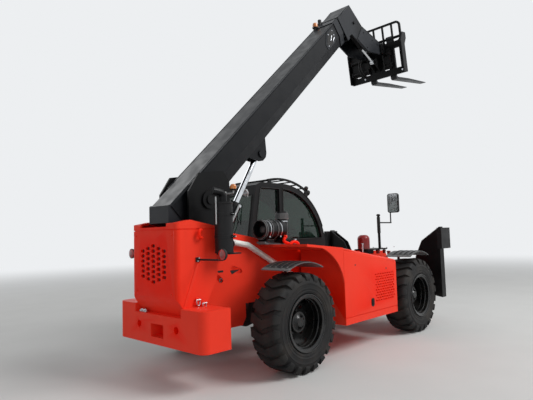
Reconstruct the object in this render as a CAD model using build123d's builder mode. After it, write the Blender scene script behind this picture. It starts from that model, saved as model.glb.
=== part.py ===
from build123d import *
from math import atan2, cos, degrees, hypot, radians, sin
import os

# Telescopic handler with its boom raised, on its wheels.
# Millimetres, +X forward, +Y to the machine's left, +Z up, z = 0 at the ground.
# Side-view sizes are measured forward from the rear axle, and placed by REAR_AXLE_X.

# Wheels and axles
REAR_AXLE_X = -1990
WHEELBASE = 2925
TYRE_RADIUS = 583
TYRE_WIDTH = 410
TYRE_BEAD_RADIUS = 305
LUG_HEIGHT = 30
LUG_COUNT = 22
LUG_LENGTH = 124
LUG_SWEEP = 70
WHEEL_Y = 945
KINGPIN_Y = 700
FENDER_RADIUS = TYRE_RADIUS + 117
FENDER_ARM_X = 104
FENDER_ARM = 18
KNUCKLE_RADIUS = 70
RIM_WALL = 15
RIM_FLANGE_RADIUS = 335
HUB_RADIUS = 120
HUB_FACE_Y = 1005
WHEEL_NUTS = 10
STEER_SWEEP_RADIUS = TYRE_RADIUS + 172
RUNNING_GAP = 0.3

# Frame
FRAME_INNER_Y = 270
FRAME_PLATE = 30
FRAME_OUTER_Y = FRAME_INNER_Y + FRAME_PLATE
FRAME_BOTTOM_Z = 430
FRAME_TAIL_Z = FRAME_BOTTOM_Z + 75
FRAME_FRONT_X = WHEELBASE + TYRE_RADIUS + 52
AXLE_NOTCH_TOP_Z = TYRE_RADIUS + 187
AXLE_NOTCH_HALF = 190
TOWER_BASE_Z = 1400
TOWER_REAR_X = -1050
TOWER_FRONT_X = -420
DECK_Z = 1322
DECK_PLATE = 20

# Boom
BOOM_ANGLE = 43.7
PIVOT_X = -750
PIVOT_Z = 2060
PIVOT_PIN_RADIUS = 55
BOOM_HALF_WIDTH = 210
BOOM_ABOVE_PIVOT = 287
BOOM_BELOW_PIVOT = 130
BOOM_FOOT_HALF_WIDTH = 150
BOOM_WAIST_V = 30
BOOM_WALL = 14
BOOM_REAR_U = -400
BOOM_FRONT_U = 4400
INNER_BOOM_GAP = 12
INNER_BOOM_REAR_U = 300
PIVOT_BOSS_RADIUS = 110

# Lift cylinder
LIFT_BASE = (-658, 1066)
LIFT_EYE = (390, 2770)
LIFT_BARREL_RADIUS = 82
LIFT_ROD_RADIUS = 40
LIFT_PIN_RADIUS = 38
LIFT_EYE_RADIUS = 72
LIFT_BARREL_LENGTH = 1150

# Head, carriage and forks
CARRIAGE_ANGLE = 9
CARRIAGE_PIN = (3700, 5170)
CARRIAGE_PIN_RADIUS = 32
TILT_BASE = (2760, 5390)
TILT_EYE = (3715, 4960)
TILT_BARREL_RADIUS = 50
TILT_ROD_RADIUS = 26
TILT_PIN_RADIUS = 24
TILT_EYE_RADIUS = 46
TILT_BARREL_LENGTH = 620
CARRIAGE_HALF_WIDTH = 605
FORK_LENGTH = 1300
FORK_WIDTH = 120
FORK_THICKNESS = 45
FORK_LEFT_Y = 150
FORK_RIGHT_Y = -290

# Bodywork
COVER_REAR_X = -1340
COVER_FRONT_X = -778
COVER_HALF_WIDTH = 450
COVER_CORNER_RADIUS = 55
SHEET = 25
WEIGHT_REAR_X = -1300
WEIGHT_FRONT_X = -(TYRE_RADIUS + 342)
WEIGHT_HALF_WIDTH = 835
WEIGHT_BOTTOM_Z = 420
WEIGHT_TOP_Z = 855
WEIGHT_CORNER_RADIUS = 100
WEIGHT_RECESS_Z = 755
TOW_PIN_RADIUS = 17
TOW_PIN_X = WEIGHT_REAR_X + 45
HOOD_REAR_X = TYRE_RADIUS + 287
HOOD_FRONT_X = WHEELBASE - TYRE_RADIUS - 92
HOOD_OUTER_Y = 1080
HOOD_INNER_Y = 345
HOOD_BOTTOM_Z = 410
HOOD_REAR_TOP_Z = 1425
HOOD_FRONT_TOP_Z = 1200
ARCH_REAR_X = 110

# Cab, on the left of the boom
CAB_INNER_Y = 300
CAB_OUTER_Y = 1110
CAB_WALL = 40
CAB_FLOOR_Z = 800
CAB_SILL_Z = 1540
CAB_ROOF_Z = 2430
CAB_STEP_Z = TYRE_RADIUS + FENDER_RADIUS + 57
GLASS = 6

# Stabilisers
STAB_X = WHEELBASE + TYRE_RADIUS + 182
STAB_THICKNESS = 150
STAB_PIVOT_Y = 600
STAB_PIVOT_Z = 645
STAB_OUTER_Y = 1165
STAB_PAD_SIZE = 360
STAB_PAD_Z = 1480
STAB_TOP_Z = 1680
STAB_RAM_BASE = (150, 1040)
STAB_RAM_EYE = (760, 1100)

os.makedirs("parts", exist_ok=True)

ARM_COS = cos(radians(BOOM_ANGLE))
ARM_SIN = sin(radians(BOOM_ANGLE))


def side(y):
    """Side-view plane at y: local x forward of the rear axle, local y up, extrudes towards -Y."""
    return Plane(origin=(REAR_AXLE_X, y, 0), x_dir=(1, 0, 0), z_dir=(0, -1, 0))


def plan(z):
    """Plan-view plane at height z: local x forward of the rear axle, local y left."""
    return Plane(origin=(REAR_AXLE_X, 0, z), x_dir=(1, 0, 0), z_dir=(0, 0, 1))


def cross(x):
    """Cross-section plane x forward of the rear axle: local x left, local y up, extrudes forward."""
    return Plane(origin=(REAR_AXLE_X + x, 0, 0), x_dir=(0, 1, 0), z_dir=(1, 0, 0))


def arm(y):
    """Boom plane at y: local x along the boom from its pivot, local y square to it."""
    return Plane(
        origin=(REAR_AXLE_X + PIVOT_X, y, PIVOT_Z), x_dir=(ARM_COS, 0, ARM_SIN), z_dir=(0, -1, 0)
    )


def arm_section(u):
    """Section across the boom, u along it from the pivot: local x left, local y up off the boom."""
    origin = (REAR_AXLE_X + PIVOT_X + u * ARM_COS, 0, PIVOT_Z + u * ARM_SIN)
    return Plane(origin=origin, x_dir=(0, 1, 0), z_dir=(ARM_COS, 0, ARM_SIN))


def tilted(y, at, angle):
    """Side plane at y with its origin at a side-view point, turned up by an angle."""
    return Plane(
        origin=(REAR_AXLE_X + at[0], y, at[1]),
        x_dir=(cos(radians(angle)), 0, sin(radians(angle))),
        z_dir=(0, -1, 0),
    )


def slope(a, b):
    """Angle of the line from side-view point a to b, in degrees."""
    return degrees(atan2(b[1] - a[1], b[0] - a[0]))


def span(a, b):
    """Distance between two side-view points."""
    return hypot(b[0] - a[0], b[1] - a[1])


def save(name, part):
    """Label a finished piece and write it."""
    part.label = name
    export_step(part, f"parts/{name}.step")


# Hinges of the engine cover and the cab door
HINGE_RADIUS = 16
HINGE_PIN_RADIUS = 8
HINGE_LENGTH = 45
HOOD_HINGES = (330, 1090)
HOOD_HINGE_Y = -325
HOOD_HINGE_RISE = 10
DOOR_HINGES = (1050, 1440, 2130)
DOOR_HINGE_X = TYRE_RADIUS + 197
DOOR_HINGE_Y = CAB_OUTER_Y + 14
HOOD_SLOPE = degrees(atan2(HOOD_REAR_TOP_Z - HOOD_FRONT_TOP_Z, HOOD_FRONT_X - HOOD_REAR_X))


def hood_hinge(s):
    """Plane square to the engine cover's hinge axis, s forward along it: local x left, local y up."""
    c, n = cos(radians(HOOD_SLOPE)), sin(radians(HOOD_SLOPE))
    origin = (
        REAR_AXLE_X + HOOD_REAR_X + s * c,
        HOOD_HINGE_Y,
        HOOD_REAR_TOP_Z + HOOD_HINGE_RISE - s * n,
    )
    return Plane(origin=origin, x_dir=(0, 1, 0), z_dir=(c, 0, -n))


# Frame: two long side plates, arched over the axles, with cross walls and the engine tray
FRAME_OUTLINE = [
    (WEIGHT_FRONT_X, FRAME_TAIL_Z),
    (-AXLE_NOTCH_HALF - 60, FRAME_TAIL_Z),
    (-AXLE_NOTCH_HALF, FRAME_TAIL_Z + 90),
    (-AXLE_NOTCH_HALF, AXLE_NOTCH_TOP_Z),
    (AXLE_NOTCH_HALF, AXLE_NOTCH_TOP_Z),
    (AXLE_NOTCH_HALF, FRAME_BOTTOM_Z),
    (WHEELBASE - AXLE_NOTCH_HALF, FRAME_BOTTOM_Z),
    (WHEELBASE - AXLE_NOTCH_HALF, AXLE_NOTCH_TOP_Z),
    (WHEELBASE + AXLE_NOTCH_HALF, AXLE_NOTCH_TOP_Z),
    (WHEELBASE + AXLE_NOTCH_HALF, FRAME_BOTTOM_Z),
    (FRAME_FRONT_X, 520),
    (FRAME_FRONT_X, 1000),
    (WHEELBASE + 375, 1280),
    (WHEELBASE - 725, 1330),
    (600, 1460),
    (-100, 1610),
    (TOWER_FRONT_X + 5, 1660),
    (TOWER_FRONT_X + 5, TOWER_BASE_Z),
    (TOWER_REAR_X - 20, TOWER_BASE_Z),
    (-1205, 1180),
    (-1205, WEIGHT_TOP_Z + 5),
    (WEIGHT_FRONT_X, WEIGHT_TOP_Z + 5),
]
with BuildPart() as chassis_frame:
    for y in (FRAME_OUTER_Y, -FRAME_INNER_Y):
        with BuildSketch(side(y)):
            with BuildLine():
                Polyline(*FRAME_OUTLINE, close=True)
            make_face()
            for x, z, length, turn in ((-612, 1110, 130, -40), (-330, 1200, 190, -20)):
                with Locations(Location((x, z), turn)):
                    SlotOverall(length, 60, mode=Mode.SUBTRACT)
        extrude(amount=FRAME_PLATE)
    # cross walls as x, bottom z, top z, then the belly plates between the axles
    for x, bottom, top in ((WEIGHT_FRONT_X + 10, FRAME_TAIL_Z, 800), (FRAME_FRONT_X - 60, 560, 1000)):
        with BuildSketch(cross(x)):
            with Locations((0, (bottom + top) / 2)):
                Rectangle(2 * FRAME_INNER_Y, top - bottom)
        extrude(amount=FRAME_PLATE)
    for rear, front, bottom in ((WEIGHT_FRONT_X + 65, -260, FRAME_TAIL_Z), (260, WHEELBASE - 285, FRAME_BOTTOM_Z)):
        with BuildSketch(plan(bottom)):
            with Locations(((rear + front) / 2, 0)):
                Rectangle(front - rear, 2 * FRAME_INNER_Y)
        extrude(amount=20)
    with BuildSketch(side(FRAME_INNER_Y)):
        with Locations(LIFT_BASE):
            Circle(LIFT_PIN_RADIUS)
    extrude(amount=2 * FRAME_INNER_Y)
    with BuildSketch(plan(HOOD_BOTTOM_Z + 22)):
        with Locations(((HOOD_REAR_X + HOOD_FRONT_X) / 2 - 30, -(FRAME_OUTER_Y + 1040) / 2)):
            Rectangle(HOOD_FRONT_X - HOOD_REAR_X - 160, 1040 - FRAME_OUTER_Y)
    extrude(amount=24)
    # hinge brackets and pins for the engine cover
    for s in HOOD_HINGES:
        with BuildSketch(hood_hinge(s - HINGE_LENGTH)):
            with Locations((-(HOOD_HINGE_Y + FRAME_OUTER_Y) / 2, 0)):
                Rectangle(-HOOD_HINGE_Y - FRAME_OUTER_Y, 2 * HINGE_RADIUS)
            Circle(HINGE_RADIUS)
        extrude(amount=HINGE_LENGTH)
        with BuildSketch(hood_hinge(s - HINGE_LENGTH)):
            Circle(HINGE_PIN_RADIUS)
        extrude(amount=2 * HINGE_LENGTH)
save("chassis_frame", chassis_frame.part)

# Tower plates that carry the boom's pivot pin, standing on the frame plates
with BuildPart() as boom_tower:
    for y in (FRAME_OUTER_Y, -FRAME_INNER_Y):
        with BuildSketch(side(y)):
            with BuildLine():
                Polyline(
                    (TOWER_REAR_X, TOWER_BASE_Z),
                    (TOWER_FRONT_X, TOWER_BASE_Z),
                    (TOWER_FRONT_X, 2300),
                    (-520, 2430),
                    (-900, 2375),
                    (TOWER_REAR_X, 2150),
                    close=True,
                )
            make_face()
        extrude(amount=FRAME_PLATE)
    for y in (FRAME_OUTER_Y + 24, -FRAME_OUTER_Y):
        with BuildSketch(side(y)):
            with Locations((PIVOT_X, PIVOT_Z)):
                Circle(PIVOT_BOSS_RADIUS)
        extrude(amount=24)
    with BuildSketch(side(FRAME_OUTER_Y + 40)):
        with Locations((PIVOT_X, PIVOT_Z)):
            Circle(PIVOT_PIN_RADIUS)
    extrude(amount=2 * (FRAME_OUTER_Y + 40))
save("boom_tower", boom_tower.part)

# Rear counterweight: one casting with rounded corners, tow pocket and a recess for the cover
WEIGHT_MID_X = (WEIGHT_REAR_X + WEIGHT_FRONT_X) / 2
with BuildPart() as counterweight:
    with BuildSketch(plan(WEIGHT_BOTTOM_Z)) as weight_plan:
        with Locations((WEIGHT_MID_X, 0)):
            Rectangle(WEIGHT_FRONT_X - WEIGHT_REAR_X, 2 * WEIGHT_HALF_WIDTH)
        rear_corners = weight_plan.vertices().group_by(Axis.X)[0]
        fillet(rear_corners, WEIGHT_CORNER_RADIUS)
    extrude(amount=WEIGHT_TOP_Z - WEIGHT_BOTTOM_Z)
    with BuildSketch(plan(WEIGHT_RECESS_Z)):
        with Locations((WEIGHT_MID_X, 0)):
            Rectangle(WEIGHT_FRONT_X - WEIGHT_REAR_X, 2 * (COVER_HALF_WIDTH + 5))
    extrude(amount=WEIGHT_TOP_Z, mode=Mode.SUBTRACT)
    with BuildSketch(cross(WEIGHT_REAR_X)):
        with Locations((0, 575)):
            Rectangle(250, 150)
    extrude(amount=150, mode=Mode.SUBTRACT)
    with BuildSketch(cross(WEIGHT_REAR_X)):
        with Locations((370, 622), (-370, 622)):
            Circle(42)
    extrude(amount=60, mode=Mode.SUBTRACT)
    with BuildSketch(plan(WEIGHT_BOTTOM_Z)):
        with Locations((TOW_PIN_X, 0)):
            Circle(TOW_PIN_RADIUS)
    extrude(amount=WEIGHT_TOP_Z, mode=Mode.SUBTRACT)
save("counterweight", counterweight.part)

# Rear cover: a thin hood over the back of the frame, open in the middle for the boom
with BuildPart() as rear_cover:
    with BuildSketch(side(COVER_HALF_WIDTH)) as cover_side:
        with BuildLine():
            Polyline(
                (COVER_REAR_X, 960),
                (COVER_REAR_X, 1780),
                (-1150, 1815),
                (COVER_FRONT_X, 1745),
                (COVER_FRONT_X, 1142),
                (WEIGHT_FRONT_X - 10, WEIGHT_TOP_Z + 10),
                (WEIGHT_FRONT_X - 10, WEIGHT_RECESS_Z),
                (-1200, WEIGHT_RECESS_Z),
                close=True,
            )
        make_face()
    extrude(amount=2 * COVER_HALF_WIDTH)
    corners = rear_cover.edges().filter_by(Axis.Z).group_by(Axis.X)[0]
    fillet(corners, COVER_CORNER_RADIUS)
    with BuildSketch(side(COVER_HALF_WIDTH - SHEET)):
        with BuildLine():
            Polyline(
                (COVER_REAR_X + SHEET, 970),
                (COVER_REAR_X + SHEET, 1755),
                (-1150, 1788),
                (COVER_FRONT_X + 10, 1720),
                (COVER_FRONT_X + 10, WEIGHT_RECESS_Z + SHEET),
                (-1180, WEIGHT_RECESS_Z + SHEET),
                close=True,
            )
        make_face()
    extrude(amount=2 * (COVER_HALF_WIDTH - SHEET), mode=Mode.SUBTRACT)
    with BuildSketch(plan(1700)):
        with Locations((0, 0)):
            Rectangle(-2 * (COVER_REAR_X + SHEET), 2 * 345)
    extrude(amount=300, mode=Mode.SUBTRACT)
    with BuildSketch(plan(1745)):
        Rectangle(-2 * COVER_REAR_X + 50, 2 * 262)
    extrude(amount=300, mode=Mode.SUBTRACT)
save("rear_cover", rear_cover.part)


# Axle beams with a ball-shaped drive housing, fork ends and seats under the frame plates
def build_axle(name, x):
    """Axle housing at x forward of the rear axle, with a fork end for each knuckle."""
    fork_in = KINGPIN_Y - 130
    with BuildPart() as axle:
        with BuildSketch(Plane(origin=(REAR_AXLE_X + x, 0, TYRE_RADIUS))):
            with BuildLine():
                Polyline(
                    (0, -fork_in), (85, -fork_in), (85, -260), (150, -110), (150, 110), (85, 260),
                    (85, fork_in), (0, fork_in), close=True,
                )
            make_face()
        revolve(axis=Axis(origin=(REAR_AXLE_X + x, 0, TYRE_RADIUS), direction=(0, 1, 0)))
        for sign in (1, -1):
            with BuildSketch(cross(x - 75)):
                for z in (TYRE_RADIUS + 165, TYRE_RADIUS - 165):
                    with Locations((sign * (KINGPIN_Y - 45), z)):
                        Rectangle(230, 40)
                with Locations((sign * (fork_in + 12), TYRE_RADIUS)):
                    Rectangle(44, 330)
            extrude(amount=150)
            with BuildSketch(Plane(origin=(REAR_AXLE_X + x, sign * KINGPIN_Y, TYRE_RADIUS - 185))):
                Circle(30)
            extrude(amount=370)
            with BuildSketch(plan(TYRE_RADIUS)):
                with Locations((x, sign * (FRAME_INNER_Y + FRAME_OUTER_Y) / 2)):
                    Rectangle(200, 60)
            extrude(amount=AXLE_NOTCH_TOP_Z - TYRE_RADIUS)
    save(name, axle.part)


build_axle("rear_axle", 0)
build_axle("front_axle", WHEELBASE)

# Wheels: x of the axle, side of the machine
WHEELS = {
    "rear_left": (0, 1),
    "rear_right": (0, -1),
    "front_left": (WHEELBASE, 1),
    "front_right": (WHEELBASE, -1),
}


def wheel_plane(x, sign, y):
    """Plane square to a wheel's axis at distance y from the mid-plane, facing outboard."""
    origin = (REAR_AXLE_X + x, sign * y, TYRE_RADIUS)
    return Plane(origin=origin, x_dir=(sign * -1, 0, 0), z_dir=(0, sign, 0))


def build_tyre(name, x, sign):
    """Tyre with a rounded carcass and chevron lugs fused to it."""
    axis = Axis(origin=(REAR_AXLE_X + x, 0, TYRE_RADIUS), direction=(0, 1, 0))
    half = TYRE_WIDTH / 2
    tread = TYRE_RADIUS - LUG_HEIGHT
    bead = TYRE_BEAD_RADIUS + RUNNING_GAP
    with BuildPart() as tyre:
        with BuildSketch(Plane(origin=(REAR_AXLE_X + x, sign * WHEEL_Y, TYRE_RADIUS))):
            with BuildLine():
                Polyline(
                    (bead, -half + 36),
                    (RIM_FLANGE_RADIUS + 2, -half + 24),
                    (RIM_FLANGE_RADIUS + 12, -half + 10),
                    (430, -half),
                    (tread - 55, -half + 8),
                    (tread, -half + 50),
                    (tread, half - 50),
                    (tread - 55, half - 8),
                    (430, half),
                    (RIM_FLANGE_RADIUS + 12, half - 10),
                    (RIM_FLANGE_RADIUS + 2, half - 24),
                    (bead, half - 36),
                    close=True,
                )
            make_face()
        revolve(axis=axis)
        for i in range(LUG_COUNT):
            turn = 360 * (i + 0.5) / LUG_COUNT
            radial = (sin(radians(turn)), 0, cos(radians(turn)))
            along = (cos(radians(turn)), 0, -sin(radians(turn)))
            origin = Vector(REAR_AXLE_X + x, sign * WHEEL_Y, TYRE_RADIUS) + Vector(*radial) * (tread - 12)
            with BuildSketch(Plane(origin=origin, x_dir=along, z_dir=radial)):
                with BuildLine():
                    Polyline(
                        (LUG_SWEEP, -half + 6),
                        (LUG_LENGTH + LUG_SWEEP, -half + 6),
                        (LUG_LENGTH, 0),
                        (LUG_LENGTH + LUG_SWEEP, half - 6),
                        (LUG_SWEEP, half - 6),
                        (0, 0),
                        close=True,
                    )
                make_face()
            extrude(amount=LUG_HEIGHT + 12 + 10)
        with BuildSketch(Plane(origin=(REAR_AXLE_X + x, sign * WHEEL_Y, TYRE_RADIUS))):
            with BuildLine():
                Polyline(
                    (bead, -half - 10),
                    (430, -half - 10),
                    (TYRE_RADIUS - 55, -half + 6),
                    (TYRE_RADIUS, -half + 40),
                    (TYRE_RADIUS, half - 40),
                    (TYRE_RADIUS - 55, half - 6),
                    (430, half + 10),
                    (bead, half + 10),
                    close=True,
                )
            make_face()
        revolve(axis=axis, mode=Mode.INTERSECT)
    save(name, tyre.part)


def build_rim(name, x, sign):
    """Dished rim with its flange, disc, planetary hub and wheel nuts."""
    half = TYRE_WIDTH / 2
    inner = TYRE_BEAD_RADIUS - RIM_WALL
    with BuildPart() as rim:
        with BuildSketch(Plane(origin=(REAR_AXLE_X + x, sign * WHEEL_Y, TYRE_RADIUS))):
            with BuildLine():
                Polyline(
                    (inner, -half + 20),
                    (RIM_FLANGE_RADIUS, -half + 8),
                    (RIM_FLANGE_RADIUS, -half + 22),
                    (TYRE_BEAD_RADIUS, -half + 34),
                    (TYRE_BEAD_RADIUS, half - 34),
                    (RIM_FLANGE_RADIUS, half - 22),
                    (RIM_FLANGE_RADIUS, half - 8),
                    (inner, half - 20),
                    close=True,
                )
            make_face()
        revolve(axis=Axis(origin=(REAR_AXLE_X + x, 0, TYRE_RADIUS), direction=(0, 1, 0)))
        with BuildSketch(wheel_plane(x, sign, 880)):
            Circle(inner)
            with PolarLocations(215, 8):
                Circle(28, mode=Mode.SUBTRACT)
        extrude(amount=20)
        with BuildSketch(wheel_plane(x, sign, 870)):
            Circle(HUB_RADIUS + 30)
        extrude(amount=40)
        with BuildSketch(wheel_plane(x, sign, 910)):
            Circle(HUB_RADIUS)
        extrude(amount=HUB_FACE_Y - 910)
        with BuildSketch(wheel_plane(x, sign, 900)):
            with PolarLocations(HUB_RADIUS + 16, WHEEL_NUTS):
                RegularPolygon(13, 6)
        extrude(amount=34)
    save(name, rim.part)


def build_knuckle(name, x, sign):
    """Steering knuckle between the axle's fork plates, with its stub axle and fender arm."""
    with BuildPart() as knuckle:
        with BuildSketch(Plane(origin=(REAR_AXLE_X + x, sign * KINGPIN_Y, TYRE_RADIUS - 140))):
            Circle(KNUCKLE_RADIUS)
            Circle(30 + RUNNING_GAP, mode=Mode.SUBTRACT)
        extrude(amount=280)
        with BuildSketch(wheel_plane(x, sign, KINGPIN_Y + 50)):
            Circle(95)
        extrude(amount=870 - KINGPIN_Y - 50 - RUNNING_GAP)
        with BuildSketch(wheel_plane(x, sign, KINGPIN_Y)):
            Rectangle(120, 200)
            Circle(30 + RUNNING_GAP, mode=Mode.SUBTRACT)
        extrude(amount=55)
        with BuildSketch(Plane(origin=(REAR_AXLE_X + x, sign * KINGPIN_Y, TYRE_RADIUS - 140))):
            Circle(30 + RUNNING_GAP)
        extrude(amount=280, mode=Mode.SUBTRACT)
    save(name, knuckle.part)


for corner, (x, sign) in WHEELS.items():
    build_tyre(f"tyre_{corner}", x, sign)
    build_rim(f"rim_{corner}", x, sign)
    build_knuckle(f"knuckle_{corner}", x, sign)

# Fenders: a curved sheet with ribs above each tyre, on an arm from the knuckle
FENDER_SHEET = 10
FENDER_INNER_Y = 715
FENDER_OUTER_Y = 1150
FENDER_FROM = 63
FENDER_TO = 117
FENDER_RIB = 8


def ring_sector(radius, thickness, start, stop):
    """Closed outline between two arcs about the local origin, as a list of edges."""
    middle = (start + stop) / 2
    arcs = []
    ends = []
    for r in (radius, radius + thickness):
        a, b, c = ((r * cos(radians(t)), r * sin(radians(t)), 0) for t in (start, middle, stop))
        arcs.append(Edge.make_three_point_arc(a, b, c))
        ends.append((a, c))
    (a0, c0), (a1, c1) = ends
    return arcs + [Edge.make_line(a0, a1), Edge.make_line(c0, c1)]


def build_fender(name, x, sign):
    """Fender of one wheel."""
    outboard = FENDER_OUTER_Y if sign > 0 else -FENDER_INNER_Y
    with BuildPart() as fender:
        with BuildSketch(tilted(outboard, (x, TYRE_RADIUS), 0)):
            make_face(ring_sector(FENDER_RADIUS, FENDER_SHEET, FENDER_FROM, FENDER_TO))
        extrude(amount=FENDER_OUTER_Y - FENDER_INNER_Y)
        for rib in (90, 180, 270, 360):
            with BuildSketch(tilted(outboard - rib, (x, TYRE_RADIUS), 0)):
                make_face(ring_sector(FENDER_RADIUS + 4, FENDER_RIB + 6, FENDER_FROM + 4, FENDER_TO - 4))
            extrude(amount=24)
        arm_y = sign * (FENDER_INNER_Y - 2)
        rise = (FENDER_RADIUS**2 - (FENDER_ARM_X + FENDER_ARM) ** 2) ** 0.5
        arm_x = REAR_AXLE_X + x + FENDER_ARM_X + FENDER_ARM / 2
        with BuildSketch(Plane(origin=(arm_x, arm_y, TYRE_RADIUS - 60))):
            Rectangle(FENDER_ARM, 38)
        extrude(amount=rise + 65)
        foot = (KNUCKLE_RADIUS + RUNNING_GAP, FENDER_ARM_X + FENDER_ARM)
        with BuildSketch(Plane(origin=(REAR_AXLE_X + x + sum(foot) / 2, arm_y, TYRE_RADIUS - 30))):
            Rectangle(foot[1] - foot[0], 38)
        extrude(amount=60)
    save(name, fender.part)


for corner, (x, sign) in WHEELS.items():
    build_fender(f"fender_{corner}", x, sign)

# Engine: one plain block on the tray beside the frame
with BuildPart() as engine_block:
    with BuildSketch(plan(HOOD_BOTTOM_Z + 46)):
        with Locations((HOOD_REAR_X + 100, -440)):
            Rectangle(HOOD_FRONT_X - HOOD_REAR_X - 360, 520, align=(Align.MIN, Align.MAX))
    extrude(amount=700)
save("engine_block", engine_block.part)


# Engine cover: a thin hood, its front drawn in round the front wheel's sweep
def hood_points(inset, bottom):
    """Side outline of the engine cover, drawn in by an inset above an open bottom."""
    rear = HOOD_REAR_X + inset
    front = HOOD_FRONT_X - inset
    return [
        (rear, bottom),
        (rear, HOOD_REAR_TOP_Z - inset),
        (front, HOOD_FRONT_TOP_Z - inset),
        (front, bottom),
    ]


HOOD_EDGE_RADIUS = 50
SWEEP_PLANE = Plane(origin=(REAR_AXLE_X + WHEELBASE, -KINGPIN_Y, 0))
with BuildPart() as hood_inside:
    with BuildSketch(side(-HOOD_INNER_Y)):
        with BuildLine():
            Polyline(*hood_points(SHEET, HOOD_BOTTOM_Z - 10), close=True)
        make_face()
    extrude(amount=HOOD_OUTER_Y - HOOD_INNER_Y - SHEET)
    with BuildSketch(SWEEP_PLANE):
        Circle(STEER_SWEEP_RADIUS + SHEET)
    extrude(amount=2000, mode=Mode.SUBTRACT)
with BuildPart() as engine_cover:
    with BuildSketch(side(-HOOD_INNER_Y)):
        with BuildLine():
            Polyline(*hood_points(0, HOOD_BOTTOM_Z), close=True)
        make_face()
    extrude(amount=HOOD_OUTER_Y - HOOD_INNER_Y)
    fillet(engine_cover.edges().group_by(Axis.Y)[0].sort_by(Axis.Z)[-1], HOOD_EDGE_RADIUS)
    with BuildSketch(SWEEP_PLANE):
        Circle(STEER_SWEEP_RADIUS)
    extrude(amount=2000, mode=Mode.SUBTRACT)
    add(hood_inside.part, mode=Mode.SUBTRACT)
    for s in HOOD_HINGES:
        with BuildSketch(hood_hinge(s + RUNNING_GAP)):
            with Locations((-HINGE_RADIUS, -HOOD_HINGE_RISE - 3)):
                Rectangle(2 * HINGE_RADIUS, 10)
            with Locations((-2 * HINGE_RADIUS, -HOOD_HINGE_RISE + 4)):
                Rectangle(40, 12)
            Circle(HINGE_RADIUS)
            Circle(HINGE_PIN_RADIUS + RUNNING_GAP, mode=Mode.SUBTRACT)
        extrude(amount=HINGE_LENGTH)
save("engine_cover", engine_cover.part)

# Arch panel: fixed bodywork behind the engine cover, above the rear wheel
ARCH_CENTRE = (100, 900)
ARCH_HALF_LENGTH = 770
ARCH_HEIGHT = 590
ARCH_TOP_Z = 1497
ARCH_FRONT_X = HOOD_REAR_X - 5


def arch_top(x):
    """Height of the arch panel's top at x."""
    fall = (ARCH_TOP_Z - HOOD_REAR_TOP_Z) / (ARCH_FRONT_X - ARCH_REAR_X)
    return ARCH_TOP_Z - (x - ARCH_REAR_X) * fall


with BuildPart() as arch_panel:
    with BuildSketch(side(-FRAME_OUTER_Y)):
        with BuildLine():
            Polyline(
                (ARCH_REAR_X, ARCH_TOP_Z),
                (ARCH_REAR_X, ARCH_TOP_Z - 30),
                (ARCH_FRONT_X, HOOD_REAR_TOP_Z - 30),
                (ARCH_FRONT_X, HOOD_REAR_TOP_Z),
                close=True,
            )
        make_face()
    extrude(amount=HOOD_OUTER_Y - FRAME_OUTER_Y)
    with BuildSketch(side(-HOOD_OUTER_Y + SHEET)):
        with BuildLine():
            Polyline(
                (ARCH_REAR_X, ARCH_TOP_Z),
                (ARCH_REAR_X, ARCH_CENTRE[1]),
                (ARCH_FRONT_X, ARCH_CENTRE[1]),
                (ARCH_FRONT_X, HOOD_REAR_TOP_Z),
                close=True,
            )
        make_face()
        with Locations(ARCH_CENTRE):
            Ellipse(ARCH_HALF_LENGTH, ARCH_HEIGHT, mode=Mode.SUBTRACT)
    extrude(amount=SHEET)
save("arch_panel", arch_panel.part)

# Muffler on its shelf, with a bent tail pipe, and the exhaust pipe to it
MUFFLER = (-790, -600)
MUFFLER_RADIUS = 105
MUFFLER_BOTTOM_Z = 1430
MUFFLER_TOP_Z = 2010
MUFFLER_X = REAR_AXLE_X + MUFFLER[0]
with BuildPart() as muffler:
    with BuildSketch(plan(MUFFLER_BOTTOM_Z)):
        with Locations(MUFFLER):
            Circle(MUFFLER_RADIUS)
    extrude(amount=MUFFLER_TOP_Z - MUFFLER_BOTTOM_Z)
    with BuildSketch(plan(MUFFLER_BOTTOM_Z - 16)):
        with Locations((-675, (MUFFLER[1] - 60 - FRAME_OUTER_Y) / 2)):
            Rectangle(180, -MUFFLER[1] + 60 - FRAME_OUTER_Y)
    extrude(amount=16)
    with BuildLine():
        tail = FilletPolyline(
            (MUFFLER_X, MUFFLER[1], MUFFLER_TOP_Z - 10),
            (MUFFLER_X, MUFFLER[1], MUFFLER_TOP_Z + 105),
            (MUFFLER_X - 130, MUFFLER[1] + 30, MUFFLER_TOP_Z + 130),
            radius=60,
        )
    with BuildSketch(Plane(origin=tail @ 0, z_dir=tail % 0)):
        Circle(42)
    sweep(path=tail)
save("muffler", muffler.part)

EXHAUST_RADIUS = 37
EXHAUST_Y = -344
EXHAUST_BEND = (-430, EXHAUST_Y)
EXHAUST_REACH = hypot(EXHAUST_BEND[0] - MUFFLER[0], EXHAUST_BEND[1] - MUFFLER[1])
EXHAUST_PART = (MUFFLER_RADIUS + RUNNING_GAP) / EXHAUST_REACH
with BuildPart() as exhaust_pipe:
    with BuildLine():
        pipe = FilletPolyline(
            (
                MUFFLER_X + EXHAUST_PART * (EXHAUST_BEND[0] - MUFFLER[0]),
                MUFFLER[1] + EXHAUST_PART * (EXHAUST_BEND[1] - MUFFLER[1]),
                1545,
            ),
            (REAR_AXLE_X + EXHAUST_BEND[0], EXHAUST_Y, 1545),
            (REAR_AXLE_X - 170, EXHAUST_Y, 1500),
            (REAR_AXLE_X + 830, EXHAUST_Y, 980),
            radius=90,
        )
    with BuildSketch(Plane(origin=pipe @ 0, z_dir=pipe % 0)):
        Circle(EXHAUST_RADIUS)
    sweep(path=pipe)
save("exhaust_pipe", exhaust_pipe.part)

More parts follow.
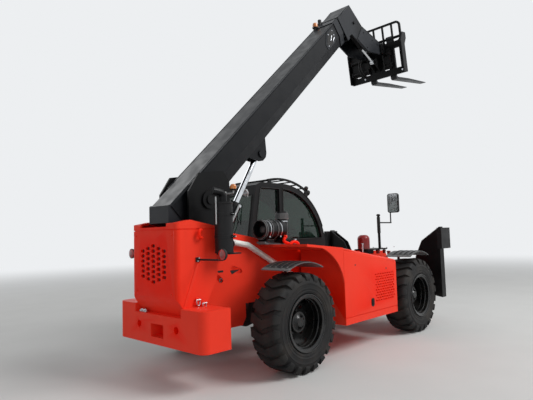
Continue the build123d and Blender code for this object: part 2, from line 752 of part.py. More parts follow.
# Air cleaner: a lying canister with ribs and an upright pre-cleaner, on two saddles
CLEANER_X = -80
CLEANER_Y = -470
CLEANER_Z = 1690
CLEANER_RADIUS = 122
SADDLE_FROM = CLEANER_X + 20
SADDLE_TO = CLEANER_X + 490


def lying(x):
    """Cross plane x forward of the air cleaner's open end, on its axis."""
    return Plane(
        origin=(REAR_AXLE_X + CLEANER_X + x, CLEANER_Y, CLEANER_Z), x_dir=(0, 1, 0), z_dir=(1, 0, 0)
    )


with BuildPart() as air_cleaner:
    with BuildSketch(lying(0)):
        Circle(CLEANER_RADIUS)
    extrude(amount=400)
    for x in (20, 120, 220):
        with BuildSketch(lying(x)):
            Circle(CLEANER_RADIUS + 7)
        extrude(amount=16)
    with BuildSketch(cross(CLEANER_X + 50)):
        with Locations((CLEANER_Y, 1560)):
            Rectangle(150, 120)
    extrude(amount=30)
    with BuildSketch(cross(CLEANER_X + 350)):
        with Locations((CLEANER_Y, 1570)):
            Rectangle(150, 160)
    extrude(amount=30)
    with BuildSketch(side(CLEANER_Y + 75)):
        with BuildLine():
            Polyline(
                (SADDLE_FROM, arch_top(SADDLE_FROM) + RUNNING_GAP),
                (SADDLE_TO, arch_top(SADDLE_TO) + RUNNING_GAP),
                (SADDLE_TO, arch_top(SADDLE_TO) + 26),
                (SADDLE_FROM, arch_top(SADDLE_FROM) + 26),
                close=True,
            )
        make_face()
    extrude(amount=150)
    with BuildSketch(plan(1600)):
        with Locations((CLEANER_X + 430, CLEANER_Y)):
            Circle(76)
    extrude(amount=325)
    with BuildSketch(plan(1825)):
        with Locations((CLEANER_X + 430, CLEANER_Y)):
            Circle(86)
    extrude(amount=80)
save("air_cleaner", air_cleaner.part)

# Front deck beside the frame plate, with the mirror on its post
MIRROR_POST = (WHEELBASE - 125, -500)
with BuildPart() as front_deck:
    with BuildSketch(plan(DECK_Z)):
        with Locations((WHEELBASE - 285, -430)):
            Rectangle(620, 260)
    extrude(amount=DECK_PLATE)
    with BuildSketch(side(-FRAME_OUTER_Y)):
        with Locations((WHEELBASE - 225, 1290)):
            Rectangle(400, 80)
    extrude(amount=16)
    with BuildSketch(plan(DECK_Z + 5)):
        with Locations(MIRROR_POST):
            Circle(22)
    extrude(amount=560)
    with BuildSketch(cross(MIRROR_POST[0] - 20)):
        with Locations((MIRROR_POST[1], 1775)):
            Circle(11)
    extrude(amount=450)
    with BuildSketch(plan(1765)):
        with Locations((MIRROR_POST[0] + 420, MIRROR_POST[1])):
            Circle(11)
    extrude(amount=280)
    with BuildSketch(cross(MIRROR_POST[0] + 410)):
        with Locations((MIRROR_POST[1] - 60, 2120)):
            RectangleRounded(210, 340, 40)
    extrude(amount=40)
save("front_deck", front_deck.part)

TURRET = (WHEELBASE - 485, -412)
TURRET_RADIUS = 100
TURRET_TOP_Z = 1575
with BuildPart() as filler_turret:
    with BuildSketch(plan(DECK_Z + DECK_PLATE)):
        with Locations(TURRET):
            Circle(TURRET_RADIUS)
    extrude(amount=TURRET_TOP_Z - DECK_Z - DECK_PLATE)
    fillet(filler_turret.edges().group_by(Axis.Z)[-1], TURRET_RADIUS * 0.7)
save("filler_turret", filler_turret.part)

# Cab: a hollow frame with a curved front, cut windows and a door opening on the left
CAB_ARC = ((1250, 2430), (1950, 2180), (2335, 1520))
CAB_STOP = 2345
CAB_LOWER_REAR_X = TYRE_RADIUS + 182
CAB_LOWER_FRONT_X = WHEELBASE - TYRE_RADIUS - 177
CAB_WINDOW_Z = 1905
WINDOW_INSET = 85
DOOR_FROM_X = CAB_LOWER_REAR_X + 25
DOOR_GAP = 6


def circle_through(a, b, c):
    """Centre and radius of the circle through three side-view points."""
    d = 2 * (a[0] * (b[1] - c[1]) + b[0] * (c[1] - a[1]) + c[0] * (a[1] - b[1]))
    aa, bb, cc = (p[0] ** 2 + p[1] ** 2 for p in (a, b, c))
    x = (aa * (b[1] - c[1]) + bb * (c[1] - a[1]) + cc * (a[1] - b[1])) / d
    y = (aa * (c[0] - b[0]) + bb * (a[0] - c[0]) + cc * (b[0] - a[0])) / d
    return (x, y), hypot(a[0] - x, a[1] - y)


CAB_CENTRE, CAB_RADIUS = circle_through(*CAB_ARC)
CAB_ARC_ANGLES = [degrees(atan2(p[1] - CAB_CENTRE[1], p[0] - CAB_CENTRE[0])) for p in CAB_ARC]


def cab_edges(inset):
    """Side outline of the cab, drawn in by an inset, as a list of edges."""
    r = CAB_RADIUS - inset
    start, middle, stop = (
        (CAB_CENTRE[0] + r * cos(radians(t)), CAB_CENTRE[1] + r * sin(radians(t)), 0) for t in CAB_ARC_ANGLES
    )
    points = [
        stop,
        (CAB_STOP - inset, CAB_STEP_Z + inset, 0),
        (CAB_LOWER_FRONT_X - inset, CAB_STEP_Z + inset, 0),
        (CAB_LOWER_FRONT_X - inset, CAB_FLOOR_Z + inset, 0),
        (CAB_LOWER_REAR_X + inset, CAB_FLOOR_Z + inset, 0),
        (CAB_LOWER_REAR_X + inset, CAB_STEP_Z + inset, 0),
        (500 + inset, CAB_STEP_Z + inset, 0),
        (510 + inset, 1560, 0),
        (650 + inset, 2380 - inset, 0),
        (760, CAB_ROOF_Z - inset, 0),
        start,
    ]
    lines = [Edge.make_line(a, b) for a, b in zip(points, points[1:])]
    return [Edge.make_three_point_arc(start, middle, stop)] + lines


CAB_MID_Y = (CAB_INNER_Y + CAB_OUTER_Y) / 2
CAB_SPAN = CAB_OUTER_Y - CAB_INNER_Y
with BuildPart() as cab_shell:
    with BuildSketch(side(CAB_OUTER_Y)):
        make_face(cab_edges(0))
    extrude(amount=CAB_SPAN)
    with BuildSketch(side(CAB_OUTER_Y - CAB_WALL)):
        make_face(cab_edges(CAB_WALL))
    extrude(amount=CAB_SPAN - 2 * CAB_WALL, mode=Mode.SUBTRACT)
    # right windows, split by a pillar
    with BuildSketch(side(CAB_INNER_Y + CAB_WALL + 10)):
        make_face(cab_edges(WINDOW_INSET))
        with Locations((1400, CAB_SILL_Z - 600)):
            Rectangle(3000, 1200, mode=Mode.SUBTRACT)
        with Locations((1215, 2000)):
            Rectangle(80, 1400, mode=Mode.SUBTRACT)
    extrude(amount=CAB_WALL + 20, mode=Mode.SUBTRACT)
    # front and rear windows
    with BuildSketch(cross(1500)):
        with Locations((CAB_MID_Y, CAB_WINDOW_Z)):
            RectangleRounded(CAB_SPAN - 120, 690, 40)
    extrude(amount=900, mode=Mode.SUBTRACT)
    with BuildSketch(cross(400)):
        with Locations((CAB_MID_Y, CAB_WINDOW_Z + 20)):
            RectangleRounded(CAB_SPAN - 120, 640, 40)
    extrude(amount=350, mode=Mode.SUBTRACT)
    # door opening
    with BuildSketch(side(CAB_OUTER_Y + 10)):
        make_face(cab_edges(WINDOW_INSET - 15))
        with Locations((DOOR_FROM_X - 1000, 1600)):
            Rectangle(2000, 2000, mode=Mode.SUBTRACT)
    extrude(amount=CAB_WALL + 20, mode=Mode.SUBTRACT)
    for z in DOOR_HINGES:
        with BuildSketch(plan(z)):
            with Locations((DOOR_HINGE_X, DOOR_HINGE_Y)):
                Circle(HINGE_RADIUS - 2)
            if z > CAB_STEP_Z:
                with Locations((DOOR_HINGE_X - 40, CAB_OUTER_Y + 5)):
                    Rectangle(80, 10)
            else:
                with Locations((DOOR_HINGE_X - 8, CAB_OUTER_Y + 5)):
                    Rectangle(16, 10)
        extrude(amount=HINGE_LENGTH)
        with BuildSketch(plan(z)):
            with Locations((DOOR_HINGE_X, DOOR_HINGE_Y)):
                Circle(HINGE_PIN_RADIUS)
        extrude(amount=2 * HINGE_LENGTH)
save("cab_shell", cab_shell.part)

# Door: fills the opening with an even gap, as thick as the wall, with its window cut
with BuildPart() as cab_door:
    with BuildSketch(side(CAB_OUTER_Y)):
        make_face(cab_edges(WINDOW_INSET - 15 + DOOR_GAP))
        with Locations((DOOR_FROM_X + DOOR_GAP - 1000, 1600)):
            Rectangle(2000, 2000, mode=Mode.SUBTRACT)
    extrude(amount=CAB_WALL)
    with BuildSketch(side(CAB_OUTER_Y + 10)):
        make_face(cab_edges(WINDOW_INSET + 60))
        with Locations((1400, CAB_SILL_Z - 120 - 600)):
            Rectangle(3000, 1200, mode=Mode.SUBTRACT)
        with Locations((DOOR_FROM_X + 60 - 1000, 1600)):
            Rectangle(2000, 2000, mode=Mode.SUBTRACT)
    extrude(amount=CAB_WALL + 20, mode=Mode.SUBTRACT)
    for z in DOOR_HINGES:
        with BuildSketch(plan(z + HINGE_LENGTH + RUNNING_GAP)):
            with Locations((DOOR_HINGE_X, DOOR_HINGE_Y)):
                Circle(HINGE_RADIUS - 2)
            with Locations((DOOR_HINGE_X + 45, CAB_OUTER_Y + 5)):
                Rectangle(90, 10)
            with Locations((DOOR_HINGE_X, DOOR_HINGE_Y)):
                Circle(HINGE_PIN_RADIUS + RUNNING_GAP, mode=Mode.SUBTRACT)
        extrude(amount=HINGE_LENGTH - 5)
save("cab_door", cab_door.part)

with BuildPart() as door_glass:
    with BuildSketch(side(CAB_OUTER_Y - 16)):
        make_face(cab_edges(WINDOW_INSET + 60 + RUNNING_GAP))
        with Locations((1400, CAB_SILL_Z - 120 - 600)):
            Rectangle(3000, 1200, mode=Mode.SUBTRACT)
        with Locations((DOOR_FROM_X + 60 - 1000, 1600)):
            Rectangle(2000, 2000, mode=Mode.SUBTRACT)
    extrude(amount=GLASS)
save("door_glass", door_glass.part)

with BuildPart() as side_glass:
    with BuildSketch(side(CAB_INNER_Y + CAB_WALL + GLASS)):
        make_face(cab_edges(WINDOW_INSET - 25))
        with Locations((1400, CAB_SILL_Z - 20 - 600)):
            Rectangle(3000, 1200, mode=Mode.SUBTRACT)
    extrude(amount=GLASS)
save("side_glass", side_glass.part)

with BuildPart() as front_glass:
    with BuildSketch(tilted(CAB_OUTER_Y, CAB_CENTRE, 0)):
        make_face(ring_sector(CAB_RADIUS - 24, GLASS, CAB_ARC_ANGLES[2] - 4, CAB_ARC_ANGLES[0] + 4))
    extrude(amount=CAB_SPAN)
    with BuildSketch(cross(1500)):
        with Locations((CAB_MID_Y, CAB_WINDOW_Z)):
            RectangleRounded(CAB_SPAN - 120 - 2 * RUNNING_GAP, 690 - 2 * RUNNING_GAP, 40)
    extrude(amount=900, mode=Mode.INTERSECT)
save("front_glass", front_glass.part)

with BuildPart() as rear_glass:
    with BuildSketch(side(CAB_OUTER_Y)):
        with BuildLine():
            Polyline((530, 1560), (665, 2350), (671, 2350), (536, 1560), close=True)
        make_face()
    extrude(amount=CAB_SPAN)
    with BuildSketch(cross(400)):
        with Locations((CAB_MID_Y, CAB_WINDOW_Z + 20)):
            RectangleRounded(CAB_SPAN - 120 - 2 * RUNNING_GAP, 640 - 2 * RUNNING_GAP, 40)
    extrude(amount=350, mode=Mode.INTERSECT)
save("rear_glass", rear_glass.part)

# Seat, console and steering wheel on one floor mat
CONSOLE_X = CAB_LOWER_FRONT_X - 405
COLUMN_ANGLE = 122
with BuildPart() as cab_interior:
    with BuildSketch(plan(CAB_FLOOR_Z + CAB_WALL)):
        with Locations((CAB_LOWER_REAR_X + 85, CAB_MID_Y)):
            Rectangle(CAB_LOWER_FRONT_X - CAB_LOWER_REAR_X - 200, 560, align=(Align.MIN, Align.CENTER))
    extrude(amount=15)
    with BuildSketch(plan(CAB_FLOOR_Z + CAB_WALL)):
        with Locations((1080, CAB_MID_Y)):
            Rectangle(380, 420)
    extrude(amount=360)
    with BuildSketch(plan(CAB_FLOOR_Z + CAB_WALL + 360)):
        with Locations((1110, CAB_MID_Y)):
            RectangleRounded(500, 480, 50)
    extrude(amount=110)
    with BuildSketch(side(CAB_MID_Y + 220)):
        with BuildLine():
            Polyline((880, 1250), (980, 1250), (920, 1830), (830, 1830), close=True)
        make_face()
    extrude(amount=440)
    with BuildSketch(side(CAB_MID_Y + 150)):
        with BuildLine():
            Polyline(
                (CONSOLE_X, 850), (CONSOLE_X + 300, 850), (CONSOLE_X + 280, 1480), (CONSOLE_X + 140, 1500),
                (CONSOLE_X + 60, 1440), close=True,
            )
        make_face()
    extrude(amount=300)
    with BuildSketch(tilted(CAB_MID_Y + 20, (CONSOLE_X + 110, 1440), COLUMN_ANGLE)):
        with Locations((100, 0)):
            Rectangle(220, 40)
    extrude(amount=40)
    wheel_dir = (cos(radians(COLUMN_ANGLE)), 0, sin(radians(COLUMN_ANGLE)))
    wheel_at = (REAR_AXLE_X + CONSOLE_X + 110 + 200 * wheel_dir[0], CAB_MID_Y, 1440 + 200 * wheel_dir[2])
    with BuildSketch(Plane(origin=wheel_at, x_dir=(0, 1, 0), z_dir=wheel_dir)):
        Circle(190)
        Circle(165, mode=Mode.SUBTRACT)
        Rectangle(350, 36)
        Rectangle(36, 350)
    extrude(amount=24)
save("cab_interior", cab_interior.part)

# Roof guard: curved bars over the roof and the windscreen
GUARD_BAR = 30
GUARD_ARC = ((960, 2462), (1450, 2480), (1946, 2305))
GUARD_CENTRE, GUARD_RADIUS = circle_through(*GUARD_ARC)
GUARD_ANGLES = [degrees(atan2(p[1] - GUARD_CENTRE[1], p[0] - GUARD_CENTRE[0])) for p in GUARD_ARC]
GUARD_SLATS = 6
with BuildPart() as roof_guard:
    for y in (CAB_INNER_Y + 60, CAB_OUTER_Y - 30):
        with BuildSketch(tilted(y, GUARD_CENTRE, 0)):
            make_face(ring_sector(GUARD_RADIUS, GUARD_BAR, GUARD_ANGLES[2], GUARD_ANGLES[0]))
        extrude(amount=GUARD_BAR)
        with BuildSketch(side(y)):
            with Locations((GUARD_ARC[0][0] + 40, 2440)):
                Rectangle(60, 70)
            with Locations((GUARD_ARC[2][0] - 50, 2265)):
                Rectangle(60, 150)
        extrude(amount=GUARD_BAR)
    for i in range(1, GUARD_SLATS + 1):
        angle = radians(GUARD_ANGLES[2] + i * (GUARD_ANGLES[0] - GUARD_ANGLES[2]) / (GUARD_SLATS + 1))
        reach = GUARD_RADIUS + GUARD_BAR / 2
        with BuildSketch(side(CAB_OUTER_Y - 40)):
            with Locations((GUARD_CENTRE[0] + reach * cos(angle), GUARD_CENTRE[1] + reach * sin(angle))):
                Circle(11)
        extrude(amount=CAB_SPAN - 100)
    with BuildSketch(tilted(CAB_OUTER_Y, CAB_CENTRE, 0)):
        make_face(ring_sector(CAB_RADIUS - 200, 200 + RUNNING_GAP, 20, 110))
    extrude(amount=CAB_SPAN, mode=Mode.SUBTRACT)
    with BuildSketch(side(CAB_OUTER_Y)):
        with Locations((CAB_ARC[0][0], CAB_ROOF_Z + RUNNING_GAP)):
            Rectangle(600, 100, align=(Align.MAX, Align.MAX))
    extrude(amount=CAB_SPAN, mode=Mode.SUBTRACT)
save("roof_guard", roof_guard.part)

# Fuel tank under the cab, with a step cut into it
with BuildPart() as side_tank:
    with BuildSketch(plan(430)):
        with Locations(((CAB_LOWER_REAR_X + CAB_LOWER_FRONT_X) / 2, (FRAME_OUTER_Y + 1080) / 2)):
            RectangleRounded(CAB_LOWER_FRONT_X - CAB_LOWER_REAR_X - 20, 1080 - FRAME_OUTER_Y, 20)
    extrude(amount=CAB_FLOOR_Z - 430)
    with BuildSketch(cross(1200)):
        with Locations((1080, 640)):
            Rectangle(360, 120)
    extrude(amount=460, mode=Mode.SUBTRACT)
save("side_tank", side_tank.part)

# Beacon on a bent arm and tail lamps on stalks
with BuildPart() as beacon:
    with BuildLine():
        beacon_arm = FilletPolyline(
            (REAR_AXLE_X - 540, -FRAME_OUTER_Y, 2130),
            (REAR_AXLE_X - 540, -500, 2130),
            (REAR_AXLE_X - 540, -500, 2180),
            radius=30,
        )
    with BuildSketch(Plane(origin=beacon_arm @ 0, z_dir=beacon_arm % 0)):
        Circle(12)
    sweep(path=beacon_arm)
    with BuildSketch(plan(2165)):
        with Locations((-540, -500)):
            Circle(44)
    extrude(amount=85, taper=5)
save("beacon", beacon.part)

LAMP_Y = 900
for name, sign in (("tail_lamp_left", 1), ("tail_lamp_right", -1)):
    with BuildPart() as lamp:
        with BuildSketch(cross(-1072)):
            with Locations((sign * (COVER_HALF_WIDTH + LAMP_Y) / 2, 1370)):
                Rectangle(LAMP_Y - COVER_HALF_WIDTH, 24)
            with Locations((sign * (LAMP_Y - 12), 1420)):
                Rectangle(24, 124)
        extrude(amount=24)
        with BuildSketch(cross(-1100)):
            with Locations((sign * LAMP_Y, 1428)):
                Circle(64)
        extrude(amount=60)
    save(name, lamp.part)


# Boom: hollow box whose lower sides lean in, open at its front end
def boom_points(gap):
    """Section outline of the outer boom, drawn in by a gap."""
    half = BOOM_HALF_WIDTH - gap
    foot = BOOM_FOOT_HALF_WIDTH - gap
    top = BOOM_ABOVE_PIVOT - gap
    bottom = -BOOM_BELOW_PIVOT + gap
    return [
        (half - 24, top),
        (half, top - 24),
        (half, BOOM_WAIST_V),
        (foot, bottom),
        (-foot, bottom),
        (-half, BOOM_WAIST_V),
        (-half, top - 24),
        (-half + 24, top),
    ]


LIFT_PLATE_Y = 60
LIFT_PLATE = 24
LIFT_EYE_U = (LIFT_EYE[0] - PIVOT_X) * ARM_COS + (LIFT_EYE[1] - PIVOT_Z) * ARM_SIN
LIFT_EYE_V = (LIFT_EYE[1] - PIVOT_Z) * ARM_COS - (LIFT_EYE[0] - PIVOT_X) * ARM_SIN
with BuildPart() as boom_outer:
    with BuildSketch(arm_section(BOOM_REAR_U)):
        with BuildLine():
            Polyline(*boom_points(0), close=True)
        make_face()
    extrude(amount=BOOM_FRONT_U - BOOM_REAR_U)
    with BuildSketch(arm_section(BOOM_FRONT_U - 190)):
        with BuildLine():
            Polyline(*boom_points(-12), close=True)
        make_face()
    extrude(amount=150)
    with BuildSketch(arm_section(BOOM_REAR_U + BOOM_WALL)):
        with BuildLine():
            Polyline(*boom_points(BOOM_WALL), close=True)
        make_face()
    extrude(amount=BOOM_FRONT_U - BOOM_REAR_U, mode=Mode.SUBTRACT)
    # wear pads that carry the inner boom
    pad = INNER_BOOM_GAP - RUNNING_GAP
    inside_top = BOOM_ABOVE_PIVOT - BOOM_WALL
    inside_bottom = -BOOM_BELOW_PIVOT + BOOM_WALL
    inside_half = BOOM_HALF_WIDTH - BOOM_WALL
    for u in (BOOM_FRONT_U - 200, INNER_BOOM_REAR_U + 600):
        with BuildSketch(arm_section(u)):
            with Locations((0, inside_top - pad / 2)):
                Rectangle(200, pad)
            with Locations((0, inside_bottom + pad / 2)):
                Rectangle(160, pad)
            for y in (-inside_half + pad / 2, inside_half - pad / 2):
                with Locations((y, 160)):
                    Rectangle(pad, 120)
        extrude(amount=180)
    for y in (PIVOT_BOSS_RADIUS + 155, -BOOM_HALF_WIDTH + 40):
        with BuildSketch(arm(y)):
            Circle(PIVOT_BOSS_RADIUS)
        extrude(amount=95)
    with BuildSketch(arm(FRAME_OUTER_Y)):
        Circle(PIVOT_PIN_RADIUS + RUNNING_GAP)
    extrude(amount=2 * FRAME_OUTER_Y, mode=Mode.SUBTRACT)
    for y in (LIFT_PLATE_Y + LIFT_PLATE, -LIFT_PLATE_Y):
        with BuildSketch(arm(y)):
            with BuildLine():
                Polyline(
                    (LIFT_EYE_U - 260, -BOOM_BELOW_PIVOT + 5),
                    (LIFT_EYE_U - 95, LIFT_EYE_V - 60),
                    (LIFT_EYE_U - 40, LIFT_EYE_V - 95),
                    (LIFT_EYE_U + 40, LIFT_EYE_V - 95),
                    (LIFT_EYE_U + 95, LIFT_EYE_V - 60),
                    (LIFT_EYE_U + 260, -BOOM_BELOW_PIVOT + 5),
                    close=True,
                )
            make_face()
        extrude(amount=LIFT_PLATE)
    for y in (LIFT_PLATE_Y + LIFT_PLATE + 20, -LIFT_PLATE_Y - LIFT_PLATE):
        with BuildSketch(arm(y)):
            with Locations((LIFT_EYE_U, LIFT_EYE_V)):
                Circle(55)
        extrude(amount=20)
save("boom_outer", boom_outer.part)

boom_end = (PIVOT_X + BOOM_REAR_U * ARM_COS, PIVOT_Z + BOOM_REAR_U * ARM_SIN)
with BuildPart() as boom_end_cover:
    with BuildSketch(side(195)):
        with BuildLine():
            Polyline(
                (-1260, 1790),
                (-1260, 1990),
                (-1150, 2100),
                (-1060, 2140),
                (boom_end[0] - 250 * ARM_SIN, boom_end[1] + 250 * ARM_COS),
                (boom_end[0] + 100 * ARM_SIN, boom_end[1] - 100 * ARM_COS),
                (-1010, 1720),
                close=True,
            )
        make_face()
    extrude(amount=390)
    with BuildSketch(arm_section(BOOM_REAR_U)):
        Rectangle(1000, 2000)
    extrude(amount=900, mode=Mode.SUBTRACT)
save("boom_end_cover", boom_end_cover.part)

# Inner boom with the gooseneck head plates, open underneath round the tilt cylinder
HEAD_HALF_WIDTH = 204
HEAD_PLATE = 26
HEAD_TOP = [(2630, 5680), (3030, 5415), (3720, 5270)]
HEAD_UNDER = [(3800, 5225), (3810, 5130), (3770, 5060), (3180, 4980), (2690, 5165), (2560, 5060)]
HEAD_OUTLINE = HEAD_TOP + HEAD_UNDER + [(2330, 5370)]
INNER_TUBE_FRONT_U = 4760
with BuildPart() as boom_inner:
    with BuildSketch(arm_section(INNER_BOOM_REAR_U)):
        with BuildLine():
            Polyline(*boom_points(BOOM_WALL + INNER_BOOM_GAP), close=True)
        make_face()
    extrude(amount=INNER_TUBE_FRONT_U - INNER_BOOM_REAR_U)
    with BuildSketch(arm_section(INNER_BOOM_REAR_U)):
        with BuildLine():
            Polyline(*boom_points(BOOM_WALL + INNER_BOOM_GAP + 14), close=True)
        make_face()
    extrude(amount=INNER_TUBE_FRONT_U - INNER_BOOM_REAR_U, mode=Mode.SUBTRACT)
    for y in (HEAD_HALF_WIDTH, -HEAD_HALF_WIDTH + HEAD_PLATE):
        with BuildSketch(side(y)):
            with BuildLine():
                Polyline(*HEAD_OUTLINE, close=True)
            make_face()
        extrude(amount=HEAD_PLATE)
    with BuildSketch(side(HEAD_HALF_WIDTH - HEAD_PLATE)):
        with BuildLine():
            Polyline(
                (2350, 5412), (2630, 5680), (3030, 5415), (3640, 5287), (3636, 5262), (3020, 5390),
                (2634, 5646), (2366, 5392), close=True,
            )
        make_face()
    extrude(amount=2 * (HEAD_HALF_WIDTH - HEAD_PLATE))
    for y in (HEAD_HALF_WIDTH + 6, -HEAD_HALF_WIDTH):
        with BuildSketch(side(y)):
            with Locations(CARRIAGE_PIN):
                Circle(85)
        extrude(amount=6)
    with BuildSketch(side(HEAD_HALF_WIDTH + 20)):
        with Locations(CARRIAGE_PIN):
            Circle(CARRIAGE_PIN_RADIUS + RUNNING_GAP)
    extrude(amount=2 * HEAD_HALF_WIDTH + 40, mode=Mode.SUBTRACT)
    with BuildSketch(side(HEAD_HALF_WIDTH - 5)):
        with Locations(TILT_BASE):
            Circle(TILT_PIN_RADIUS)
    extrude(amount=2 * HEAD_HALF_WIDTH - 10)
save("boom_inner", boom_inner.part)


# Cylinders: a barrel with its eye round a fixed pin, and a rod that ends in a solid eye
def along(at, angle, s):
    """Plane square to a cylinder's axis at distance s along it from a side-view point."""
    c, n = cos(radians(angle)), sin(radians(angle))
    origin = (REAR_AXLE_X + at[0] + s * c, 0, at[1] + s * n)
    return Plane(origin=origin, x_dir=(0, 1, 0), z_dir=(c, 0, n))


def build_cylinder(kind, base, eye, barrel, rod, pin, ring, length, rod_from, half):
    """Barrel and rod of one cylinder that lies in the machine's mid-plane."""
    angle = slope(base, eye)
    reach = span(base, eye)
    with BuildPart() as tube:
        with BuildSketch(along(base, angle, ring - 15)):
            Circle(barrel)
        extrude(amount=length - ring + 15)
        with BuildSketch(along(base, angle, length - 60)):
            Circle(barrel + 8)
        extrude(amount=60)
        with BuildSketch(side(half)):
            with Locations(base):
                Circle(ring)
        extrude(amount=2 * half)
        with BuildSketch(along(base, angle, ring + 25)):
            Circle(barrel - 14)
        extrude(amount=length - ring - 25 - 60, mode=Mode.SUBTRACT)
        with BuildSketch(along(base, angle, length - 70)):
            Circle(rod + RUNNING_GAP)
        extrude(amount=80, mode=Mode.SUBTRACT)
        with BuildSketch(side(half + 10)):
            with Locations(base):
                Circle(pin + RUNNING_GAP)
        extrude(amount=2 * half + 20, mode=Mode.SUBTRACT)
    save(f"{kind}_barrel", tube.part)
    with BuildPart() as stem:
        with BuildSketch(along(base, angle, rod_from)):
            Circle(rod)
        extrude(amount=reach - rod_from)
        with BuildSketch(along(base, angle, rod_from)):
            Circle(barrel - 16)
        extrude(amount=30)
        with BuildSketch(side(half)):
            with Locations(eye):
                Circle(ring)
        extrude(amount=2 * half)
    save(f"{kind}_rod", stem.part)


build_cylinder(
    "lift", LIFT_BASE, LIFT_EYE, LIFT_BARREL_RADIUS, LIFT_ROD_RADIUS,
    LIFT_PIN_RADIUS, LIFT_EYE_RADIUS, LIFT_BARREL_LENGTH, LIFT_BARREL_LENGTH - 360, 50,
)
build_cylinder(
    "tilt", TILT_BASE, TILT_EYE, TILT_BARREL_RADIUS, TILT_ROD_RADIUS,
    TILT_PIN_RADIUS, TILT_EYE_RADIUS, TILT_BARREL_LENGTH, TILT_BARREL_LENGTH - 260, 38,
)

# Carriage: side plates, bars and lugs in a frame that leans back with the forks
FRAME_P = 150
FRAME_DEPTH = 50
SHAFT = (232, 190)
SHAFT_RADIUS = 26
TILT_EYE_P = (TILT_EYE[0] - CARRIAGE_PIN[0]) * cos(radians(CARRIAGE_ANGLE)) + (
    TILT_EYE[1] - CARRIAGE_PIN[1]
) * sin(radians(CARRIAGE_ANGLE))
TILT_EYE_Q = (TILT_EYE[1] - CARRIAGE_PIN[1]) * cos(radians(CARRIAGE_ANGLE)) - (
    TILT_EYE[0] - CARRIAGE_PIN[0]
) * sin(radians(CARRIAGE_ANGLE))


def head(y):
    """Side plane at y in the carriage's own frame, its origin on the carriage pin."""
    return tilted(y, CARRIAGE_PIN, CARRIAGE_ANGLE)


def face_on(p):
    """Plane facing forward at distance p ahead of the carriage pin: local x left, local y up."""
    c, n = cos(radians(CARRIAGE_ANGLE)), sin(radians(CARRIAGE_ANGLE))
    origin = (REAR_AXLE_X + CARRIAGE_PIN[0] + p * c, 0, CARRIAGE_PIN[1] + p * n)
    return Plane(origin=origin, x_dir=(0, 1, 0), z_dir=(c, 0, n))


with BuildPart() as carriage:
    with BuildSketch(face_on(FRAME_P)):
        with Locations((0, -470)):
            Rectangle(2 * CARRIAGE_HALF_WIDTH, 120)
        with Locations((0, 20)):
            Rectangle(2 * CARRIAGE_HALF_WIDTH, 90)
        for y in (-CARRIAGE_HALF_WIDTH + 50, -340, 340, CARRIAGE_HALF_WIDTH - 50):
            with Locations((y, -230)):
                Rectangle(100, 590)
        with Locations((0, -230)):
            Rectangle(280, 590)
    extrude(amount=FRAME_DEPTH)
    for y in (CARRIAGE_HALF_WIDTH, -CARRIAGE_HALF_WIDTH + 20):
        with BuildSketch(head(y)):
            with BuildLine():
                Polyline(
                    (60, -520), (FRAME_P + FRAME_DEPTH, -530), (FRAME_P + FRAME_DEPTH, 0),
                    (SHAFT[0] + 45, 120), (SHAFT[0] + 45, 230), (FRAME_P, 230), (60, 60), close=True,
                )
            make_face()
        extrude(amount=20)
    with BuildSketch(head(CARRIAGE_HALF_WIDTH)):
        with Locations(SHAFT):
            Circle(SHAFT_RADIUS)
    extrude(amount=2 * CARRIAGE_HALF_WIDTH)
    for y in (HEAD_HALF_WIDTH + 12 + 26, -HEAD_HALF_WIDTH - 12):
        with BuildSketch(head(y)):
            with BuildLine():
                Polyline(
                    (-70, -70), (0, -105), (FRAME_P + 10, -160), (FRAME_P + 10, 60),
                    (0, 105), (-70, 70), close=True,
                )
            make_face()
        extrude(amount=26)
    with BuildSketch(head(HEAD_HALF_WIDTH + 50)):
        Circle(CARRIAGE_PIN_RADIUS)
    extrude(amount=2 * HEAD_HALF_WIDTH + 100)
    for y in (45 + 22, -45):
        with BuildSketch(head(y)):
            with BuildLine():
                Polyline(
                    (TILT_EYE_P - 50, TILT_EYE_Q + 10), (TILT_EYE_P - 20, TILT_EYE_Q - 55),
                    (FRAME_P + 10, -400), (FRAME_P + 10, -120),
                    (TILT_EYE_P + 10, TILT_EYE_Q + 55), close=True,
                )
            make_face()
        extrude(amount=22)
    for y in (45 + 22 + 14, -45 - 22):
        with BuildSketch(head(y)):
            with Locations((TILT_EYE_P, TILT_EYE_Q)):
                Circle(34)
        extrude(amount=14)
save("carriage", carriage.part)

# Load backrest: a bent tube with upright bars, standing on the carriage
BACKREST_TOP_Q = 470
BACKREST_HALF_WIDTH = 575
with BuildPart() as backrest:
    with BuildSketch(face_on(FRAME_P)):
        with Locations((0, (60 + BACKREST_TOP_Q) / 2 + 2.5)):
            RectangleRounded(2 * BACKREST_HALF_WIDTH, BACKREST_TOP_Q - 65, 90)
            RectangleRounded(2 * BACKREST_HALF_WIDTH - 76, BACKREST_TOP_Q - 65 - 76, 60, mode=Mode.SUBTRACT)
        for y in (-390, -195, 0, 195, 390):
            with Locations((y, (60 + BACKREST_TOP_Q) / 2)):
                Rectangle(30, BACKREST_TOP_Q - 80)
    extrude(amount=33)
save("backrest", backrest.part)

